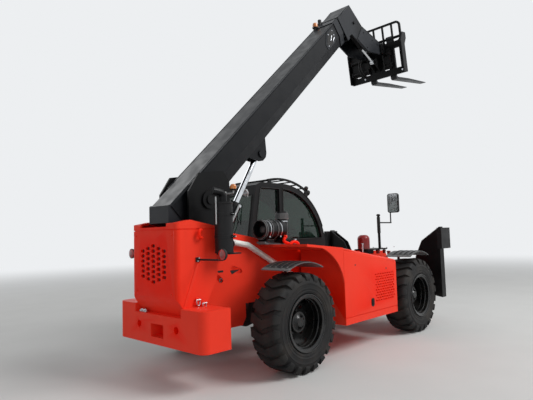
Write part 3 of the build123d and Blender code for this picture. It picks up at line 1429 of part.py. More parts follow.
FORK_P = FRAME_P + FRAME_DEPTH + 2
FORK_Q = -606
for name, y in (("fork_left", FORK_LEFT_Y), ("fork_right", FORK_RIGHT_Y)):
    with BuildPart() as fork:
        with BuildSketch(head(y + FORK_WIDTH / 2)):
            with BuildLine():
                Polyline(
                    (FORK_P, FORK_Q + 30),
                    (FORK_P + 30, FORK_Q),
                    (FORK_P + FORK_THICKNESS + FORK_LENGTH - 30, FORK_Q),
                    (FORK_P + FORK_THICKNESS + FORK_LENGTH, FORK_Q + 12),
                    (FORK_P + FORK_THICKNESS + 500, FORK_Q + FORK_THICKNESS),
                    (FORK_P + FORK_THICKNESS + 25, FORK_Q + FORK_THICKNESS),
                    (FORK_P + FORK_THICKNESS, FORK_Q + FORK_THICKNESS + 25),
                    (FORK_P + FORK_THICKNESS, SHAFT[1]),
                    (FORK_P, SHAFT[1]),
                    close=True,
                )
            make_face()
            with Locations(SHAFT):
                Circle(SHAFT_RADIUS + 20)
                Circle(SHAFT_RADIUS + RUNNING_GAP, mode=Mode.SUBTRACT)
        extrude(amount=FORK_WIDTH)
    save(name, fork.part)

# Stabilisers: a cross frame on the front of the chassis and a leg each side with its ram
STAB_MID_X = STAB_X + STAB_THICKNESS / 2
STAB_ARM = 90
STAB_PLATE = 20
STAB_PIN_RADIUS = 35
RAM_BARREL_RADIUS = 38
RAM_ROD_RADIUS = 20
RAM_PIN_RADIUS = 20
RAM_EYE_RADIUS = 36
RAM_LENGTH = 545
RAM_ROD_FROM = 75
with BuildPart() as stabiliser_frame:
    with BuildSketch(cross(FRAME_FRONT_X)):
        with Locations((0, 680)):
            Rectangle(2 * FRAME_OUTER_Y, 240)
    extrude(amount=STAB_MID_X + STAB_ARM / 2 - FRAME_FRONT_X)
    with BuildSketch(cross(STAB_MID_X - STAB_ARM / 2)):
        with Locations((0, STAB_PIVOT_Z)):
            Rectangle(2 * STAB_PIVOT_Y, 150)
        with Locations((STAB_PIVOT_Y, STAB_PIVOT_Z), (-STAB_PIVOT_Y, STAB_PIVOT_Z)):
            Circle(75)
    extrude(amount=STAB_ARM)
    for x in (STAB_MID_X - STAB_ARM / 2 - 16, STAB_MID_X + STAB_ARM / 2):
        with BuildSketch(cross(x)):
            with BuildLine():
                Polyline((-290, 600), (290, 600), (230, 1085), (-230, 1085), close=True)
            make_face()
        extrude(amount=16)
    with BuildSketch(cross(STAB_MID_X - STAB_ARM / 2 - 5)):
        with Locations((STAB_RAM_BASE[0], STAB_RAM_BASE[1]), (-STAB_RAM_BASE[0], STAB_RAM_BASE[1])):
            Circle(RAM_PIN_RADIUS)
    extrude(amount=STAB_ARM + 10)
    with BuildSketch(cross(STAB_X - 12)):
        with Locations((STAB_PIVOT_Y, STAB_PIVOT_Z), (-STAB_PIVOT_Y, STAB_PIVOT_Z)):
            Circle(STAB_PIN_RADIUS)
    extrude(amount=STAB_THICKNESS + 24)
save("stabiliser_frame", stabiliser_frame.part)


def cross_at(x, sign):
    """Cross plane whose local x points outboard on one side of the machine."""
    return Plane(origin=(REAR_AXLE_X + x, 0, 0), x_dir=(0, sign, 0), z_dir=(sign, 0, 0))


def build_stabiliser(side_name, sign):
    """Leg, pad, barrel and rod of one stabiliser, drawn folded up."""
    near = STAB_X if sign > 0 else STAB_X + STAB_THICKNESS
    with BuildPart() as leg:
        with BuildSketch(cross_at(near, sign)):
            with BuildLine():
                Polyline(
                    (560, 560),
                    (STAB_OUTER_Y, 460),
                    (STAB_OUTER_Y, STAB_TOP_Z),
                    (830, 1440),
                    (705, 1160),
                    (700, 1040),
                    (760, 800),
                    (540, 740),
                    (520, 640),
                    close=True,
                )
            make_face()
        extrude(amount=STAB_THICKNESS)
        inner = near + sign * STAB_PLATE
        with BuildSketch(cross_at(inner, sign)):
            with Locations((STAB_OUTER_Y - 40 - 500, 1000)):
                Rectangle(1000, 2000)
        extrude(amount=STAB_THICKNESS - 2 * STAB_PLATE, mode=Mode.SUBTRACT)
        with BuildSketch(cross_at(near - sign * 10, sign)):
            with Locations((STAB_PIVOT_Y, STAB_PIVOT_Z)):
                Circle(STAB_PIN_RADIUS + RUNNING_GAP)
        extrude(amount=STAB_THICKNESS + 20, mode=Mode.SUBTRACT)
        for x in (near - sign * 14, near + sign * STAB_THICKNESS):
            with BuildSketch(cross_at(x, sign)):
                with Locations(STAB_RAM_EYE):
                    Circle(30)
            extrude(amount=14)
        pad_at = (REAR_AXLE_X + STAB_MID_X, sign * STAB_OUTER_Y, STAB_PAD_Z)
        with BuildSketch(Plane(origin=pad_at, x_dir=(1, 0, 0), z_dir=(0, sign, 0))):
            Rectangle(STAB_PAD_SIZE, STAB_PAD_SIZE)
        extrude(amount=80)
    save(f"stabiliser_leg_{side_name}", leg.part)

    a, b = STAB_RAM_BASE, STAB_RAM_EYE
    reach = span(a, b)
    c, n = (b[0] - a[0]) / reach, (b[1] - a[1]) / reach

    def ram(s):
        origin = (REAR_AXLE_X + STAB_MID_X, sign * (a[0] + s * c), a[1] + s * n)
        return Plane(origin=origin, x_dir=(1, 0, 0), z_dir=(0, sign * c, n))

    half = 33
    start = STAB_MID_X - sign * half
    with BuildPart() as barrel:
        with BuildSketch(ram(RAM_EYE_RADIUS - 12)):
            Circle(RAM_BARREL_RADIUS)
        extrude(amount=RAM_LENGTH - RAM_EYE_RADIUS + 12)
        with BuildSketch(cross_at(start, sign)):
            with Locations(a):
                Circle(RAM_EYE_RADIUS)
        extrude(amount=2 * half)
        with BuildSketch(ram(RAM_EYE_RADIUS + 12)):
            Circle(RAM_BARREL_RADIUS - 8)
        extrude(amount=RAM_LENGTH - RAM_EYE_RADIUS - 12 - 40, mode=Mode.SUBTRACT)
        with BuildSketch(ram(RAM_LENGTH - 50)):
            Circle(RAM_ROD_RADIUS + RUNNING_GAP)
        extrude(amount=60, mode=Mode.SUBTRACT)
        with BuildSketch(cross_at(start - sign * 10, sign)):
            with Locations(a):
                Circle(RAM_PIN_RADIUS + RUNNING_GAP)
        extrude(amount=2 * half + 20, mode=Mode.SUBTRACT)
    save(f"stabiliser_barrel_{side_name}", barrel.part)
    with BuildPart() as stem:
        with BuildSketch(ram(RAM_ROD_FROM)):
            Circle(RAM_ROD_RADIUS)
        extrude(amount=reach - RAM_ROD_FROM)
        with BuildSketch(cross_at(start, sign)):
            with Locations(b):
                Circle(RAM_EYE_RADIUS)
        extrude(amount=2 * half)
    save(f"stabiliser_rod_{side_name}", stem.part)


build_stabiliser("left", 1)
build_stabiliser("right", -1)
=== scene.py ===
"""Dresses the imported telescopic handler: finishes, fine pieces, floor, light and camera."""

from __future__ import annotations

import logging
import math
from collections.abc import Iterable, Sequence
from dataclasses import dataclass, field
from enum import Enum

import bmesh
import bpy
from mathutils import Matrix, Vector

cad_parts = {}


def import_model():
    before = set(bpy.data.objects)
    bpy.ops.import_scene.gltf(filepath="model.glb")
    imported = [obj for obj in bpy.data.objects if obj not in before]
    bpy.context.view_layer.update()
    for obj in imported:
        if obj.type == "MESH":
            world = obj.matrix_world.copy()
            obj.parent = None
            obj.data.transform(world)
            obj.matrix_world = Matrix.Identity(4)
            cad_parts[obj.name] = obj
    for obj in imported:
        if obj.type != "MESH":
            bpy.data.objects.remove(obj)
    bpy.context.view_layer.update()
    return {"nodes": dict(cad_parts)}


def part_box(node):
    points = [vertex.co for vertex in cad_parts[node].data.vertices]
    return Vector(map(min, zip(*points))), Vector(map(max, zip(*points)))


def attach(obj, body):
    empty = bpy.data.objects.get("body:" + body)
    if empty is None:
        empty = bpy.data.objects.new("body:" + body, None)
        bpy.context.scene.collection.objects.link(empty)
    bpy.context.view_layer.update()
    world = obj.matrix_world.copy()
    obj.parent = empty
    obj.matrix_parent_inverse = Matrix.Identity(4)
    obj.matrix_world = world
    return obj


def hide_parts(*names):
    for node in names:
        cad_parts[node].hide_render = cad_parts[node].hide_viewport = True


log = logging.getLogger("handler")

Point = Sequence[float]
IMAGE_WIDTH = 533
REAR_AXLE_X = -1.925
# The measured places have the rear axle at REAR_AXLE_X. The part's own origin is under its middle, so all
# that is made is moved by this much at the end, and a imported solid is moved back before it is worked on.
ORIGIN_SHIFT = Vector((-0.065, 0.0, 0.0))
WHEELBASE = 2.925
MM = 0.001
X, Y, Z = Vector((1, 0, 0)), Vector((0, 1, 0)), Vector((0, 0, 1))
SIDES = {"left": 1, "right": -1}


def linear(colour: str, alpha: float = 1.0) -> tuple[float, float, float, float]:
    """Turns an sRGB hex colour into linear values.

    Args:
        colour: Six hex digits, with or without a hash sign.
        alpha: Fourth value of the result.

    Returns:
        Linear red, green and blue, with alpha.
    """
    digits = colour.lstrip("#")
    parts = [int(digits[i : i + 2], 16) / 255 for i in (0, 2, 4)]
    red, green, blue = (p / 12.92 if p <= 0.04045 else ((p + 0.055) / 1.055) ** 2.4 for p in parts)
    return red, green, blue, alpha


def per_metre(millimetres: float) -> float:
    """Texture scale whose features are this many millimetres across."""
    return 1000 / millimetres


def add_node(
    tree: bpy.types.NodeTree,
    kind: str,
    settings: dict[str, object] | None = None,
    inputs: dict[str | int, object] | None = None,
) -> bpy.types.Node:
    """Adds one node to a tree.

    Args:
        tree: Tree that gets the node.
        kind: Blender's name of the node type.
        settings: Properties to set on the node.
        inputs: For each socket name or index, an output socket to link or a value to set.

    Returns:
        The new node.
    """
    node = tree.nodes.new(kind)
    for name, value in (settings or {}).items():
        setattr(node, name, value)
    for name, value in (inputs or {}).items():
        if isinstance(value, bpy.types.NodeSocket):
            tree.links.new(value, node.inputs[name])
        else:
            node.inputs[name].default_value = value
    return node


def mix_colour(tree: bpy.types.NodeTree, factor: object, first: object, second: object) -> bpy.types.NodeSocket:
    """Blends two colours or colour sockets and returns the result's socket."""
    node = add_node(tree, "ShaderNodeMix", {"data_type": "RGBA"}, {0: factor, 6: first, 7: second})
    return node.outputs[2]


def remap(
    tree: bpy.types.NodeTree, value: object, low: float, high: float, to_low: float = 0.0, to_high: float = 1.0
) -> bpy.types.NodeSocket:
    """Smoothly maps a range of a value onto another and returns the result's socket."""
    node = add_node(
        tree,
        "ShaderNodeMapRange",
        {"interpolation_type": "SMOOTHSTEP"},
        {"Value": value, "From Min": low, "From Max": high, "To Min": to_low, "To Max": to_high},
    )
    return node.outputs["Result"]


def arithmetic(tree: bpy.types.NodeTree, operation: str, first: object, second: object) -> bpy.types.NodeSocket:
    """Joins two values by an operation of the Math node and returns the result's socket."""
    return add_node(tree, "ShaderNodeMath", {"operation": operation}, {0: first, 1: second}).outputs[0]


class Slot(Enum):
    """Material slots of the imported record."""

    RED = "red_enamel"
    BLACK = "black_enamel"
    CASTING = "axle_casting"
    FENDER = "fender"
    RIM = "rim"
    TYRE = "tyre"
    EXHAUST = "exhaust"
    DARK = "dark_metal"
    CAP = "red_cap"
    GLASS = "glass"
    INTERIOR = "interior"
    AMBER = "amber"
    LAMP = "lamp"
    ROD = "rod"


@dataclass(frozen=True)
class Finish:
    """What all finishes share: a name, a colour and the record's slot."""

    name: str
    colour: str
    slot: Slot
    roughness: float = 0.5

    def material(self) -> bpy.types.Material:
        """Returns this finish's material, and makes it the first time."""
        known = bpy.data.materials.get(self.name)
        if known is not None:
            return known
        made = bpy.data.materials.new(self.name)
        made.use_nodes = True
        tree = made.node_tree
        shader = tree.nodes["Principled BSDF"]
        shader.inputs["Base Color"].default_value = linear(self.colour)
        shader.inputs["Roughness"].default_value = self.roughness
        self.surface(tree, shader)
        return made

    def surface(self, tree: bpy.types.NodeTree, shader: bpy.types.Node) -> None:
        """Adds this finish's own detail to its shader."""

    def noise(
        self,
        tree: bpy.types.NodeTree,
        millimetres: float,
        stretch: tuple[float, float, float] = (1, 1, 1),
        detail: float = 3.0,
    ) -> bpy.types.NodeSocket:
        """Noise on Object coordinates.

        Args:
            tree: Tree that gets the nodes.
            millimetres: Size of a feature.
            stretch: Scale along each axis, small where the pattern is drawn out.
            detail: Octaves of the noise.

        Returns:
            Socket of the noise value.
        """
        place = add_node(tree, "ShaderNodeTexCoord").outputs["Object"]
        scaled = add_node(tree, "ShaderNodeMapping", None, {"Vector": place, "Scale": stretch}).outputs[0]
        inputs = {"Vector": scaled, "Scale": per_metre(millimetres), "Detail": detail}
        return add_node(tree, "ShaderNodeTexNoise", None, inputs).outputs[0]

    def dust(self, tree: bpy.types.NodeTree, height: float, amount: float) -> bpy.types.NodeSocket:
        """Dust that grows towards the ground and lies on faces that look up.

        Args:
            tree: Tree that gets the nodes.
            height: Height in metres where the splashed dust ends.
            amount: Largest share of dust.

        Returns:
            Socket of the dust share, from 0 to amount.
        """
        place = add_node(tree, "ShaderNodeTexCoord").outputs["Object"]
        z = add_node(tree, "ShaderNodeSeparateXYZ", None, {0: place}).outputs[2]
        splash = remap(tree, z, height, 0.0)
        normal = add_node(tree, "ShaderNodeNewGeometry").outputs["Normal"]
        up = add_node(tree, "ShaderNodeSeparateXYZ", None, {0: normal}).outputs[2]
        settled = remap(tree, up, 0.55, 1.0, 0.0, 0.45)
        share = arithmetic(tree, "MAXIMUM", splash, settled)
        cloud = remap(tree, self.noise(tree, 120, detail=6.0), 0.35, 0.75)
        return arithmetic(tree, "MULTIPLY", arithmetic(tree, "MULTIPLY", share, cloud), amount)

    def worn(self, tree: bpy.types.NodeTree, amount: float) -> bpy.types.NodeSocket:
        """Share of rubbed edge, from the mesh's pointiness, from 0 to amount."""
        edge = add_node(tree, "ShaderNodeNewGeometry").outputs["Pointiness"]
        return remap(tree, edge, 0.52, 0.6, 0.0, amount)

    def bump(self, tree: bpy.types.NodeTree, shader: bpy.types.Node, height: object, depth: float) -> None:
        """Links a height socket to the shader as a bump, its depth in millimetres."""
        node = add_node(tree, "ShaderNodeBump", None, {"Height": height, "Distance": depth * MM, "Strength": 1.0})
        tree.links.new(node.outputs[0], shader.inputs["Normal"])


@dataclass(frozen=True)
class Enamel(Finish):
    """Two-pack enamel sprayed on steel: a faintly pebbled film, even in colour, dull where dust lies."""

    shade: str = "#000000"
    gloss_coat: float = 0.0
    dusty: float = 0.35
    dust_height: float = 1.1
    edge: str = "#6F6E6C"
    gloss: float = 0.25

    def surface(self, tree: bpy.types.NodeTree, shader: bpy.types.Node) -> None:
        """Colour drift, faint runs, dust, rubbed edges and the sprayed pebble."""
        drift = remap(tree, self.noise(tree, 420), 0.3, 0.7, 0.0, 0.4)
        colour = mix_colour(tree, drift, linear(self.colour), linear(self.shade))
        runs = remap(tree, self.noise(tree, 45, (1, 1, 0.1)), 0.52, 0.8, 0.0, 0.25)
        colour = mix_colour(tree, runs, colour, linear(self.shade))
        colour = mix_colour(tree, self.worn(tree, 0.35), colour, linear(self.edge))
        dust = self.dust(tree, self.dust_height, self.dusty)
        colour = mix_colour(tree, dust, colour, linear("#9A9085"))
        tree.links.new(colour, shader.inputs["Base Color"])
        patchy = remap(tree, self.noise(tree, 160, detail=5.0), 0.3, 0.7, self.roughness - 0.05,
                self.roughness + 0.08)
        tree.links.new(arithmetic(tree, "ADD", patchy, dust), shader.inputs["Roughness"])
        shader.inputs["Specular IOR Level"].default_value = self.gloss
        shader.inputs["Coat Weight"].default_value = self.gloss_coat
        shader.inputs["Coat Roughness"].default_value = 0.12
        # the pebble of sprayed enamel is about 3 mm across, drawn at 12 mm so that it shows
        self.bump(tree, shader, self.noise(tree, 12, detail=1.0), 0.12)


@dataclass(frozen=True)
class CastIron(Finish):
    """Sand-cast iron under black paint: coarse grain, matt, oily and dusty in patches."""

    def surface(self, tree: bpy.types.NodeTree, shader: bpy.types.Node) -> None:
        """Grime in the hollows and the grain of the sand."""
        grime = remap(tree, self.noise(tree, 90, detail=6.0), 0.4, 0.7)
        colour = mix_colour(tree, grime, linear(self.colour), linear("#2B2723"))
        tree.links.new(colour, shader.inputs["Base Color"])
        tree.links.new(remap(tree, grime, 0.0, 1.0, self.roughness, 0.85), shader.inputs["Roughness"])
        # sand grain of about 1 mm, drawn at 7 mm
        self.bump(tree, shader, self.noise(tree, 7, detail=2.0), 0.5)


@dataclass(frozen=True)
class Rubber(Finish):
    """Cured black rubber: matt, brown with road dust in the tread's hollows, finely grained."""

    grain: float = 6.0
    dusty: float = 0.3

    def surface(self, tree: bpy.types.NodeTree, shader: bpy.types.Node) -> None:
        """Road dust in soft clouds and the moulded grain."""
        cloud = remap(tree, self.noise(tree, 260, detail=8.0), 0.35, 0.75, 0.0, self.dusty)
        colour = mix_colour(tree, cloud, linear(self.colour), linear("#4A433C"))
        tree.links.new(colour, shader.inputs["Base Color"])
        shader.inputs["Specular IOR Level"].default_value = 0.35
        self.bump(tree, shader, self.noise(tree, self.grain, detail=3.0), 0.4)


@dataclass(frozen=True)
class PlatedSteel(Finish):
    """Bright steel: hard chrome, zinc or stainless, with the fine lines of its grinding."""

    line: float = 4.0
    tarnish: str = "#6A6A68"
    metallic: float = 1.0

    def surface(self, tree: bpy.types.NodeTree, shader: bpy.types.Node) -> None:
        """Metal reflection with stains and drawn-out lines."""
        shader.inputs["Metallic"].default_value = self.metallic
        stain = remap(tree, self.noise(tree, 60, detail=6.0), 0.5, 0.8, 0.0, 0.4)
        tree.links.new(mix_colour(tree, stain, linear(self.colour), linear(self.tarnish)),
                shader.inputs["Base Color"])
        lines = self.noise(tree, self.line, (0.15, 1, 0.15), 2.0)
        spread = remap(tree, lines, 0.3, 0.7, max(self.roughness - 0.04, 0.01), self.roughness + 0.06)
        tree.links.new(spread, shader.inputs["Roughness"])
        self.bump(tree, shader, lines, 0.01)


@dataclass(frozen=True)
class Plastic(Finish):
    """Moulded plastic such as polypropylene or ABS: dyed through, with a fine leather grain."""

    grain: float = 5.0
    dusty: float = 0.3
    gloss: float = 0.3

    def surface(self, tree: bpy.types.NodeTree, shader: bpy.types.Node) -> None:
        """Even colour, pale rubbed edges, a little dust and the mould's grain."""
        dust = self.dust(tree, 1.4, self.dusty)
        colour = mix_colour(tree, self.worn(tree, 0.5), linear(self.colour), linear("#8B8C8C"))
        tree.links.new(mix_colour(tree, dust, colour, linear("#8F877D")), shader.inputs["Base Color"])
        tree.links.new(arithmetic(tree, "ADD", dust, self.roughness), shader.inputs["Roughness"])
        place = add_node(tree, "ShaderNodeTexCoord").outputs["Object"]
        cells = add_node(tree, "ShaderNodeTexVoronoi", None, {"Vector": place, "Scale": per_metre(self.grain)})
        shader.inputs["Specular IOR Level"].default_value = self.gloss
        self.bump(tree, shader, cells.outputs[0], 0.12)


@dataclass(frozen=True)
class Fabric(Finish):
    """Woven seat cloth over foam: dull, with a sheen and its threads crossing 4 mm apart."""

    thread: float = 4.0

    def surface(self, tree: bpy.types.NodeTree, shader: bpy.types.Node) -> None:
        """Threads in two directions, drawn as crossed waves, and faint wear."""
        place = add_node(tree, "ShaderNodeTexCoord").outputs["Object"]
        scale = per_metre(self.thread) / math.tau
        waves = [
            add_node(tree, "ShaderNodeTexWave", {"bands_direction": d}, {"Vector": place, "Scale": scale}).outputs[1]
            for d in ("X", "Y")
        ]
        weave = arithmetic(tree, "MULTIPLY", *waves)
        colour = mix_colour(tree, weave, linear(self.colour), linear("#3C4147"))
        tree.links.new(colour, shader.inputs["Base Color"])
        shader.inputs["Sheen Weight"].default_value = 0.4
        self.bump(tree, shader, weave, 0.5)


@dataclass(frozen=True)
class TintedGlass(Finish):
    """Toughened glass, green through its thickness, with a film of dust."""

    def surface(self, tree: bpy.types.NodeTree, shader: bpy.types.Node) -> None:
        """Clear body with a faint haze of dust."""
        shader.inputs["Transmission Weight"].default_value = 0.94
        shader.inputs["IOR"].default_value = 1.5
        haze = remap(tree, self.noise(tree, 140, detail=6.0), 0.4, 0.8, 0.0, 0.12)
        tree.links.new(haze, shader.inputs["Roughness"])


@dataclass(frozen=True)
class Lens(Finish):
    """Moulded acrylic lens, dyed, with fine ribs inside."""

    def surface(self, tree: bpy.types.NodeTree, shader: bpy.types.Node) -> None:
        """Dyed body with painted light and shade on its ribs: bands of the dye colour and a darker copy of it."""
        place = add_node(tree, "ShaderNodeTexCoord").outputs["Object"]
        # ribs 9 mm apart
        ribs = add_node(tree, "ShaderNodeTexWave", None,
                {"Vector": place, "Scale": per_metre(9) / math.tau}).outputs[1]
        # painted shade on the ribs: the dye colour darkened to 0.45
        dark = tuple(c * 0.45 for c in linear(self.colour)[:3]) + (1.0,)
        tree.links.new(mix_colour(tree, ribs, dark, linear(self.colour)), shader.inputs["Base Color"])
        shader.inputs["Subsurface Weight"].default_value = 0.15
        shader.inputs["Coat Weight"].default_value = 0.6
        self.bump(tree, shader, ribs, 0.3)


@dataclass(frozen=True)
class PaintedOpeningShade(Finish):
    """Painted shade for the inside of an opening: a dark, dusty patch with upright fins 5 mm apart, drawn at 14 mm so
    that they show.
    """

    def surface(self, tree: bpy.types.NodeTree, shader: bpy.types.Node) -> None:
        """Upright fins, near-black between them: painted shade."""
        place = add_node(tree, "ShaderNodeTexCoord").outputs["Object"]
        inputs = {"Vector": place, "Scale": per_metre(14) / math.tau}
        fins = add_node(tree, "ShaderNodeTexWave", {"bands_direction": "Z"}, inputs).outputs[1]
        colour = mix_colour(tree, fins, linear("#050505"), linear(self.colour))
        tree.links.new(colour, shader.inputs["Base Color"])
        self.bump(tree, shader, fins, 1.5)


RED = Enamel("orange_red_enamel", "#FF2203", Slot.RED, 0.38, "#F01C02", 0.0, 0.05, 0.7, "#F4604A", 0.1)
BLACK = Enamel("black_boom_enamel", "#0B0D11", Slot.BLACK, 0.38, "#08090C", 0.0, 0.03, 1.0, "#3A3D42", 0.2)
BLACK_BODY = Enamel("black_frame_enamel", "#070708", Slot.BLACK, 0.42, "#0A0B0C", 0.0, 0.05, 1.2, "#333334", 0.15)
FORK = Enamel("forged_fork_black", "#0A0B0D", Slot.BLACK, 0.42, "#121110", 0.0, 0.06, 1.2, "#46484A", 0.22)
CAST = CastIron("axle_casting", "#111112", Slot.CASTING, 0.6)
RIM = Enamel("black_rim_enamel", "#08090A", Slot.RIM, 0.26, "#0C0D0E", 0.2, 0.06, 1.2, "#3A3B3D", 0.3)
TYRE = Rubber("tyre_rubber", "#0F0F10", Slot.TYRE, 0.7, 6.0, 0.35)
GASKET = Rubber("window_rubber", "#0C0C0D", Slot.INTERIOR, 0.6, 5.0, 0.1)
HOSE = Rubber("hose_rubber", "#101112", Slot.INTERIOR, 0.5, 5.0, 0.15)
FENDER = Plastic("fender_plastic", "#111214", Slot.FENDER, 0.36, 5.0, 0.2)
MUFFLER = Enamel("heatproof_black", "#08090C", Slot.DARK, 0.42, "#0E0B0A", 0.0, 0.05, 1.2, "#333334", 0.18)
CLEANER = Plastic("black_polyamide", "#08090B", Slot.DARK, 0.28, 5.0, 0.1)
PIPE = PlatedSteel("aluminised_pipe", "#F4F3EE", Slot.EXHAUST, 0.42, 6.0, "#D8D4CA", 0.25)
CHROME = PlatedSteel("hard_chrome", "#DDE0E4", Slot.ROD, 0.08)
ZINC = PlatedSteel("zinc_plate", "#C3C6CA", Slot.ROD, 0.3, 3.0, "#8C8B86")
PALE = Enamel("pale_grey_paint", "#B9BBBC", Slot.ROD, 0.45, "#A7A9AA", 0.0, 0.2, 1.0)
MIRROR = PlatedSteel("silvered_mirror", "#F2F4F6", Slot.ROD, 0.12, 30.0, "#E4E6E8")
GLASS = TintedGlass("green_glass", "#4F655B", Slot.GLASS, 0.02)
TRIM = Plastic("cab_plastic", "#101113", Slot.INTERIOR, 0.6, 5.0, 0.1)
SEAT = Fabric("seat_cloth", "#23262A", Slot.INTERIOR, 0.9)
AMBER = Lens("amber_lens", "#F08A14", Slot.AMBER, 0.2)
LAMP = Lens("red_lens", "#B3140E", Slot.LAMP, 0.2)
CLEAR = Lens("clear_lens", "#D8DADC", Slot.LAMP, 0.15)
TURRET = Enamel("deep_red_enamel", "#8E1716", Slot.CAP, 0.3, "#74110F", 0.3, 0.1, 1.2)
# Painted shade for the inside of openings on the frame and the boom.
OPENING_SHADE = PaintedOpeningShade("painted_opening_shade", "#1A1817", Slot.DARK, 0.7)

NODE_FINISH: dict[Finish, tuple[str, ...]] = {
    RED: ("counterweight", "rear_cover", "chassis_frame", "engine_cover", "arch_panel"),
    BLACK: ("boom_outer", "boom_end_cover", "boom_inner"),
    BLACK_BODY: (
        "boom_tower", "cab_shell", "cab_door", "roof_guard", "front_deck", "carriage", "backrest", "side_tank",
        "stabiliser_frame", "stabiliser_leg_left", "stabiliser_leg_right", "lift_barrel", "tilt_barrel",
        "stabiliser_barrel_left", "stabiliser_barrel_right",
    ),
    FORK: ("fork_left", "fork_right"),
    CAST: ("rear_axle", "front_axle", "engine_block", "knuckle_rear_left", "knuckle_rear_right",
           "knuckle_front_left", "knuckle_front_right"),
    RIM: ("rim_rear_left", "rim_rear_right", "rim_front_left", "rim_front_right"),
    TYRE: ("tyre_rear_left", "tyre_rear_right", "tyre_front_left", "tyre_front_right"),
    FENDER: ("fender_rear_left", "fender_rear_right", "fender_front_left", "fender_front_right"),
    MUFFLER: ("muffler",),
    CLEANER: ("air_cleaner",),
    PIPE: ("exhaust_pipe",),
    CHROME: ("lift_rod", "tilt_rod", "stabiliser_rod_left", "stabiliser_rod_right"),
    GLASS: ("side_glass", "front_glass", "rear_glass", "door_glass"),
    TRIM: ("cab_interior",),
    AMBER: ("beacon",),
    LAMP: ("tail_lamp_left", "tail_lamp_right"),
    TURRET: ("filler_turret",),
}


class Trees:
    """The Geometry Nodes trees for what repeats or follows a path."""

    def __init__(self) -> None:
        """Builds each tree once."""
        self.tube = self.make_tube()
        self.scatter = self.make_scatter()
        self.ring = self.make_ring()

    def start(self, name: str, sockets: dict[str, str]) -> tuple[bpy.types.NodeTree, bpy.types.Node]:
        """Makes a tree with a geometry input and output, and further inputs by name.

        Args:
            name: Name of the tree.
            sockets: For each further input, its socket type without the common prefix.

        Returns:
            The tree and its input node.
        """
        tree = bpy.data.node_groups.new(name, "GeometryNodeTree")
        tree.interface.new_socket("Geometry", in_out="INPUT", socket_type="NodeSocketGeometry")
        for label, kind in sockets.items():
            tree.interface.new_socket(label, in_out="INPUT", socket_type=f"NodeSocket{kind}")
        tree.interface.new_socket("Geometry", in_out="OUTPUT", socket_type="NodeSocketGeometry")
        return tree, add_node(tree, "NodeGroupInput")

    def end(self, tree: bpy.types.NodeTree, geometry: bpy.types.NodeSocket, given: bpy.types.Node) -> None:
        """Closes a tree: real geometry with its material set."""
        real = add_node(tree, "GeometryNodeRealizeInstances", None, {"Geometry": geometry})
        inputs = {"Geometry": real.outputs[0], "Material": given.outputs["Material"]}
        painted = add_node(tree, "GeometryNodeSetMaterial", None, inputs)
        add_node(tree, "NodeGroupOutput", None, {0: painted.outputs[0]})

    def make_tube(self) -> bpy.types.NodeTree:
        """Round tube along the curve, or along the edges, of the object."""
        tree, given = self.start("tube_along", {"Radius": "Float", "Sides": "Int", "Material": "Material"})
        edges = add_node(tree, "GeometryNodeMeshToCurve", None, {"Mesh": given.outputs["Geometry"]})
        paths = add_node(tree, "GeometryNodeJoinGeometry")
        for source in (edges.outputs[0], given.outputs["Geometry"]):
            tree.links.new(source, paths.inputs[0])
        ring = add_node(
            tree,
            "GeometryNodeCurvePrimitiveCircle",
            None,
            {"Resolution": given.outputs["Sides"], "Radius": given.outputs["Radius"]},
        )
        inputs = {"Curve": paths.outputs[0], "Profile Curve": ring.outputs[0], "Fill Caps": True}
        wall = add_node(tree, "GeometryNodeCurveToMesh", None, inputs)
        self.end(tree, wall.outputs[0], given)
        return tree

    def make_scatter(self) -> bpy.types.NodeTree:
        """A copy of the item at each point, turned as the point's turn attribute says."""
        tree, given = self.start("copies_at_points", {"Item": "Object", "Material": "Material"})
        item = add_node(tree, "GeometryNodeObjectInfo", None, {"Object": given.outputs["Item"]})
        stored = add_node(tree, "GeometryNodeInputNamedAttribute", {"data_type": "FLOAT_VECTOR"}, {"Name": "turn"})
        turn = add_node(tree, "FunctionNodeEulerToRotation", None, {0: stored.outputs[0]})
        copies = add_node(
            tree,
            "GeometryNodeInstanceOnPoints",
            None,
            {
                "Points": given.outputs["Geometry"],
                "Instance": item.outputs["Geometry"],
                "Rotation": turn.outputs[0],
            },
        )
        self.end(tree, copies.outputs[0], given)
        return tree

    def make_ring(self) -> bpy.types.NodeTree:
        """Copies of the object's mesh, evenly round the sideways axis through a centre."""
        tree, given = self.start("copies_round_axle", {"Count": "Int", "Centre": "Vector", "Material": "Material"})
        points = add_node(tree, "GeometryNodePoints", None, {"Count": given.outputs["Count"]})
        index = add_node(tree, "GeometryNodeInputIndex").outputs[0]
        step = arithmetic(tree, "DIVIDE", math.tau, given.outputs["Count"])
        angle = arithmetic(tree, "MULTIPLY", index, step)
        euler = add_node(tree, "ShaderNodeCombineXYZ", None, {1: angle}).outputs[0]
        turn = add_node(tree, "FunctionNodeEulerToRotation", None, {0: euler})
        inputs = {"Points": points.outputs[0], "Instance": given.outputs["Geometry"], "Rotation": turn.outputs[0]}
        copies = add_node(tree, "GeometryNodeInstanceOnPoints", None, inputs)
        inputs = {"Geometry": copies.outputs[0], "Translation": given.outputs["Centre"]}
        placed = add_node(tree, "GeometryNodeTransform", None, inputs)
        self.end(tree, placed.outputs[0], given)
        return tree


def run_tree(item: bpy.types.Object, tree: bpy.types.NodeTree, values: dict[str, object]) -> bpy.types.Mesh:
    """Runs a Geometry Nodes tree on an object, which is then removed.

    Args:
        item: Object with the tree's input geometry.
        tree: Tree to run.
        values: For each named input, its value.

    Returns:
        The result as a plain mesh.
    """
    modifier = item.modifiers.new(tree.name, "NODES")
    modifier.node_group = tree
    for socket in tree.interface.items_tree:
        if socket.in_out == "INPUT" and socket.name in values:
            modifier[socket.identifier] = values[socket.name]
    graph = bpy.context.evaluated_depsgraph_get()
    mesh = bpy.data.meshes.new_from_object(item.evaluated_get(graph), depsgraph=graph)
    bpy.data.objects.remove(item)
    return mesh


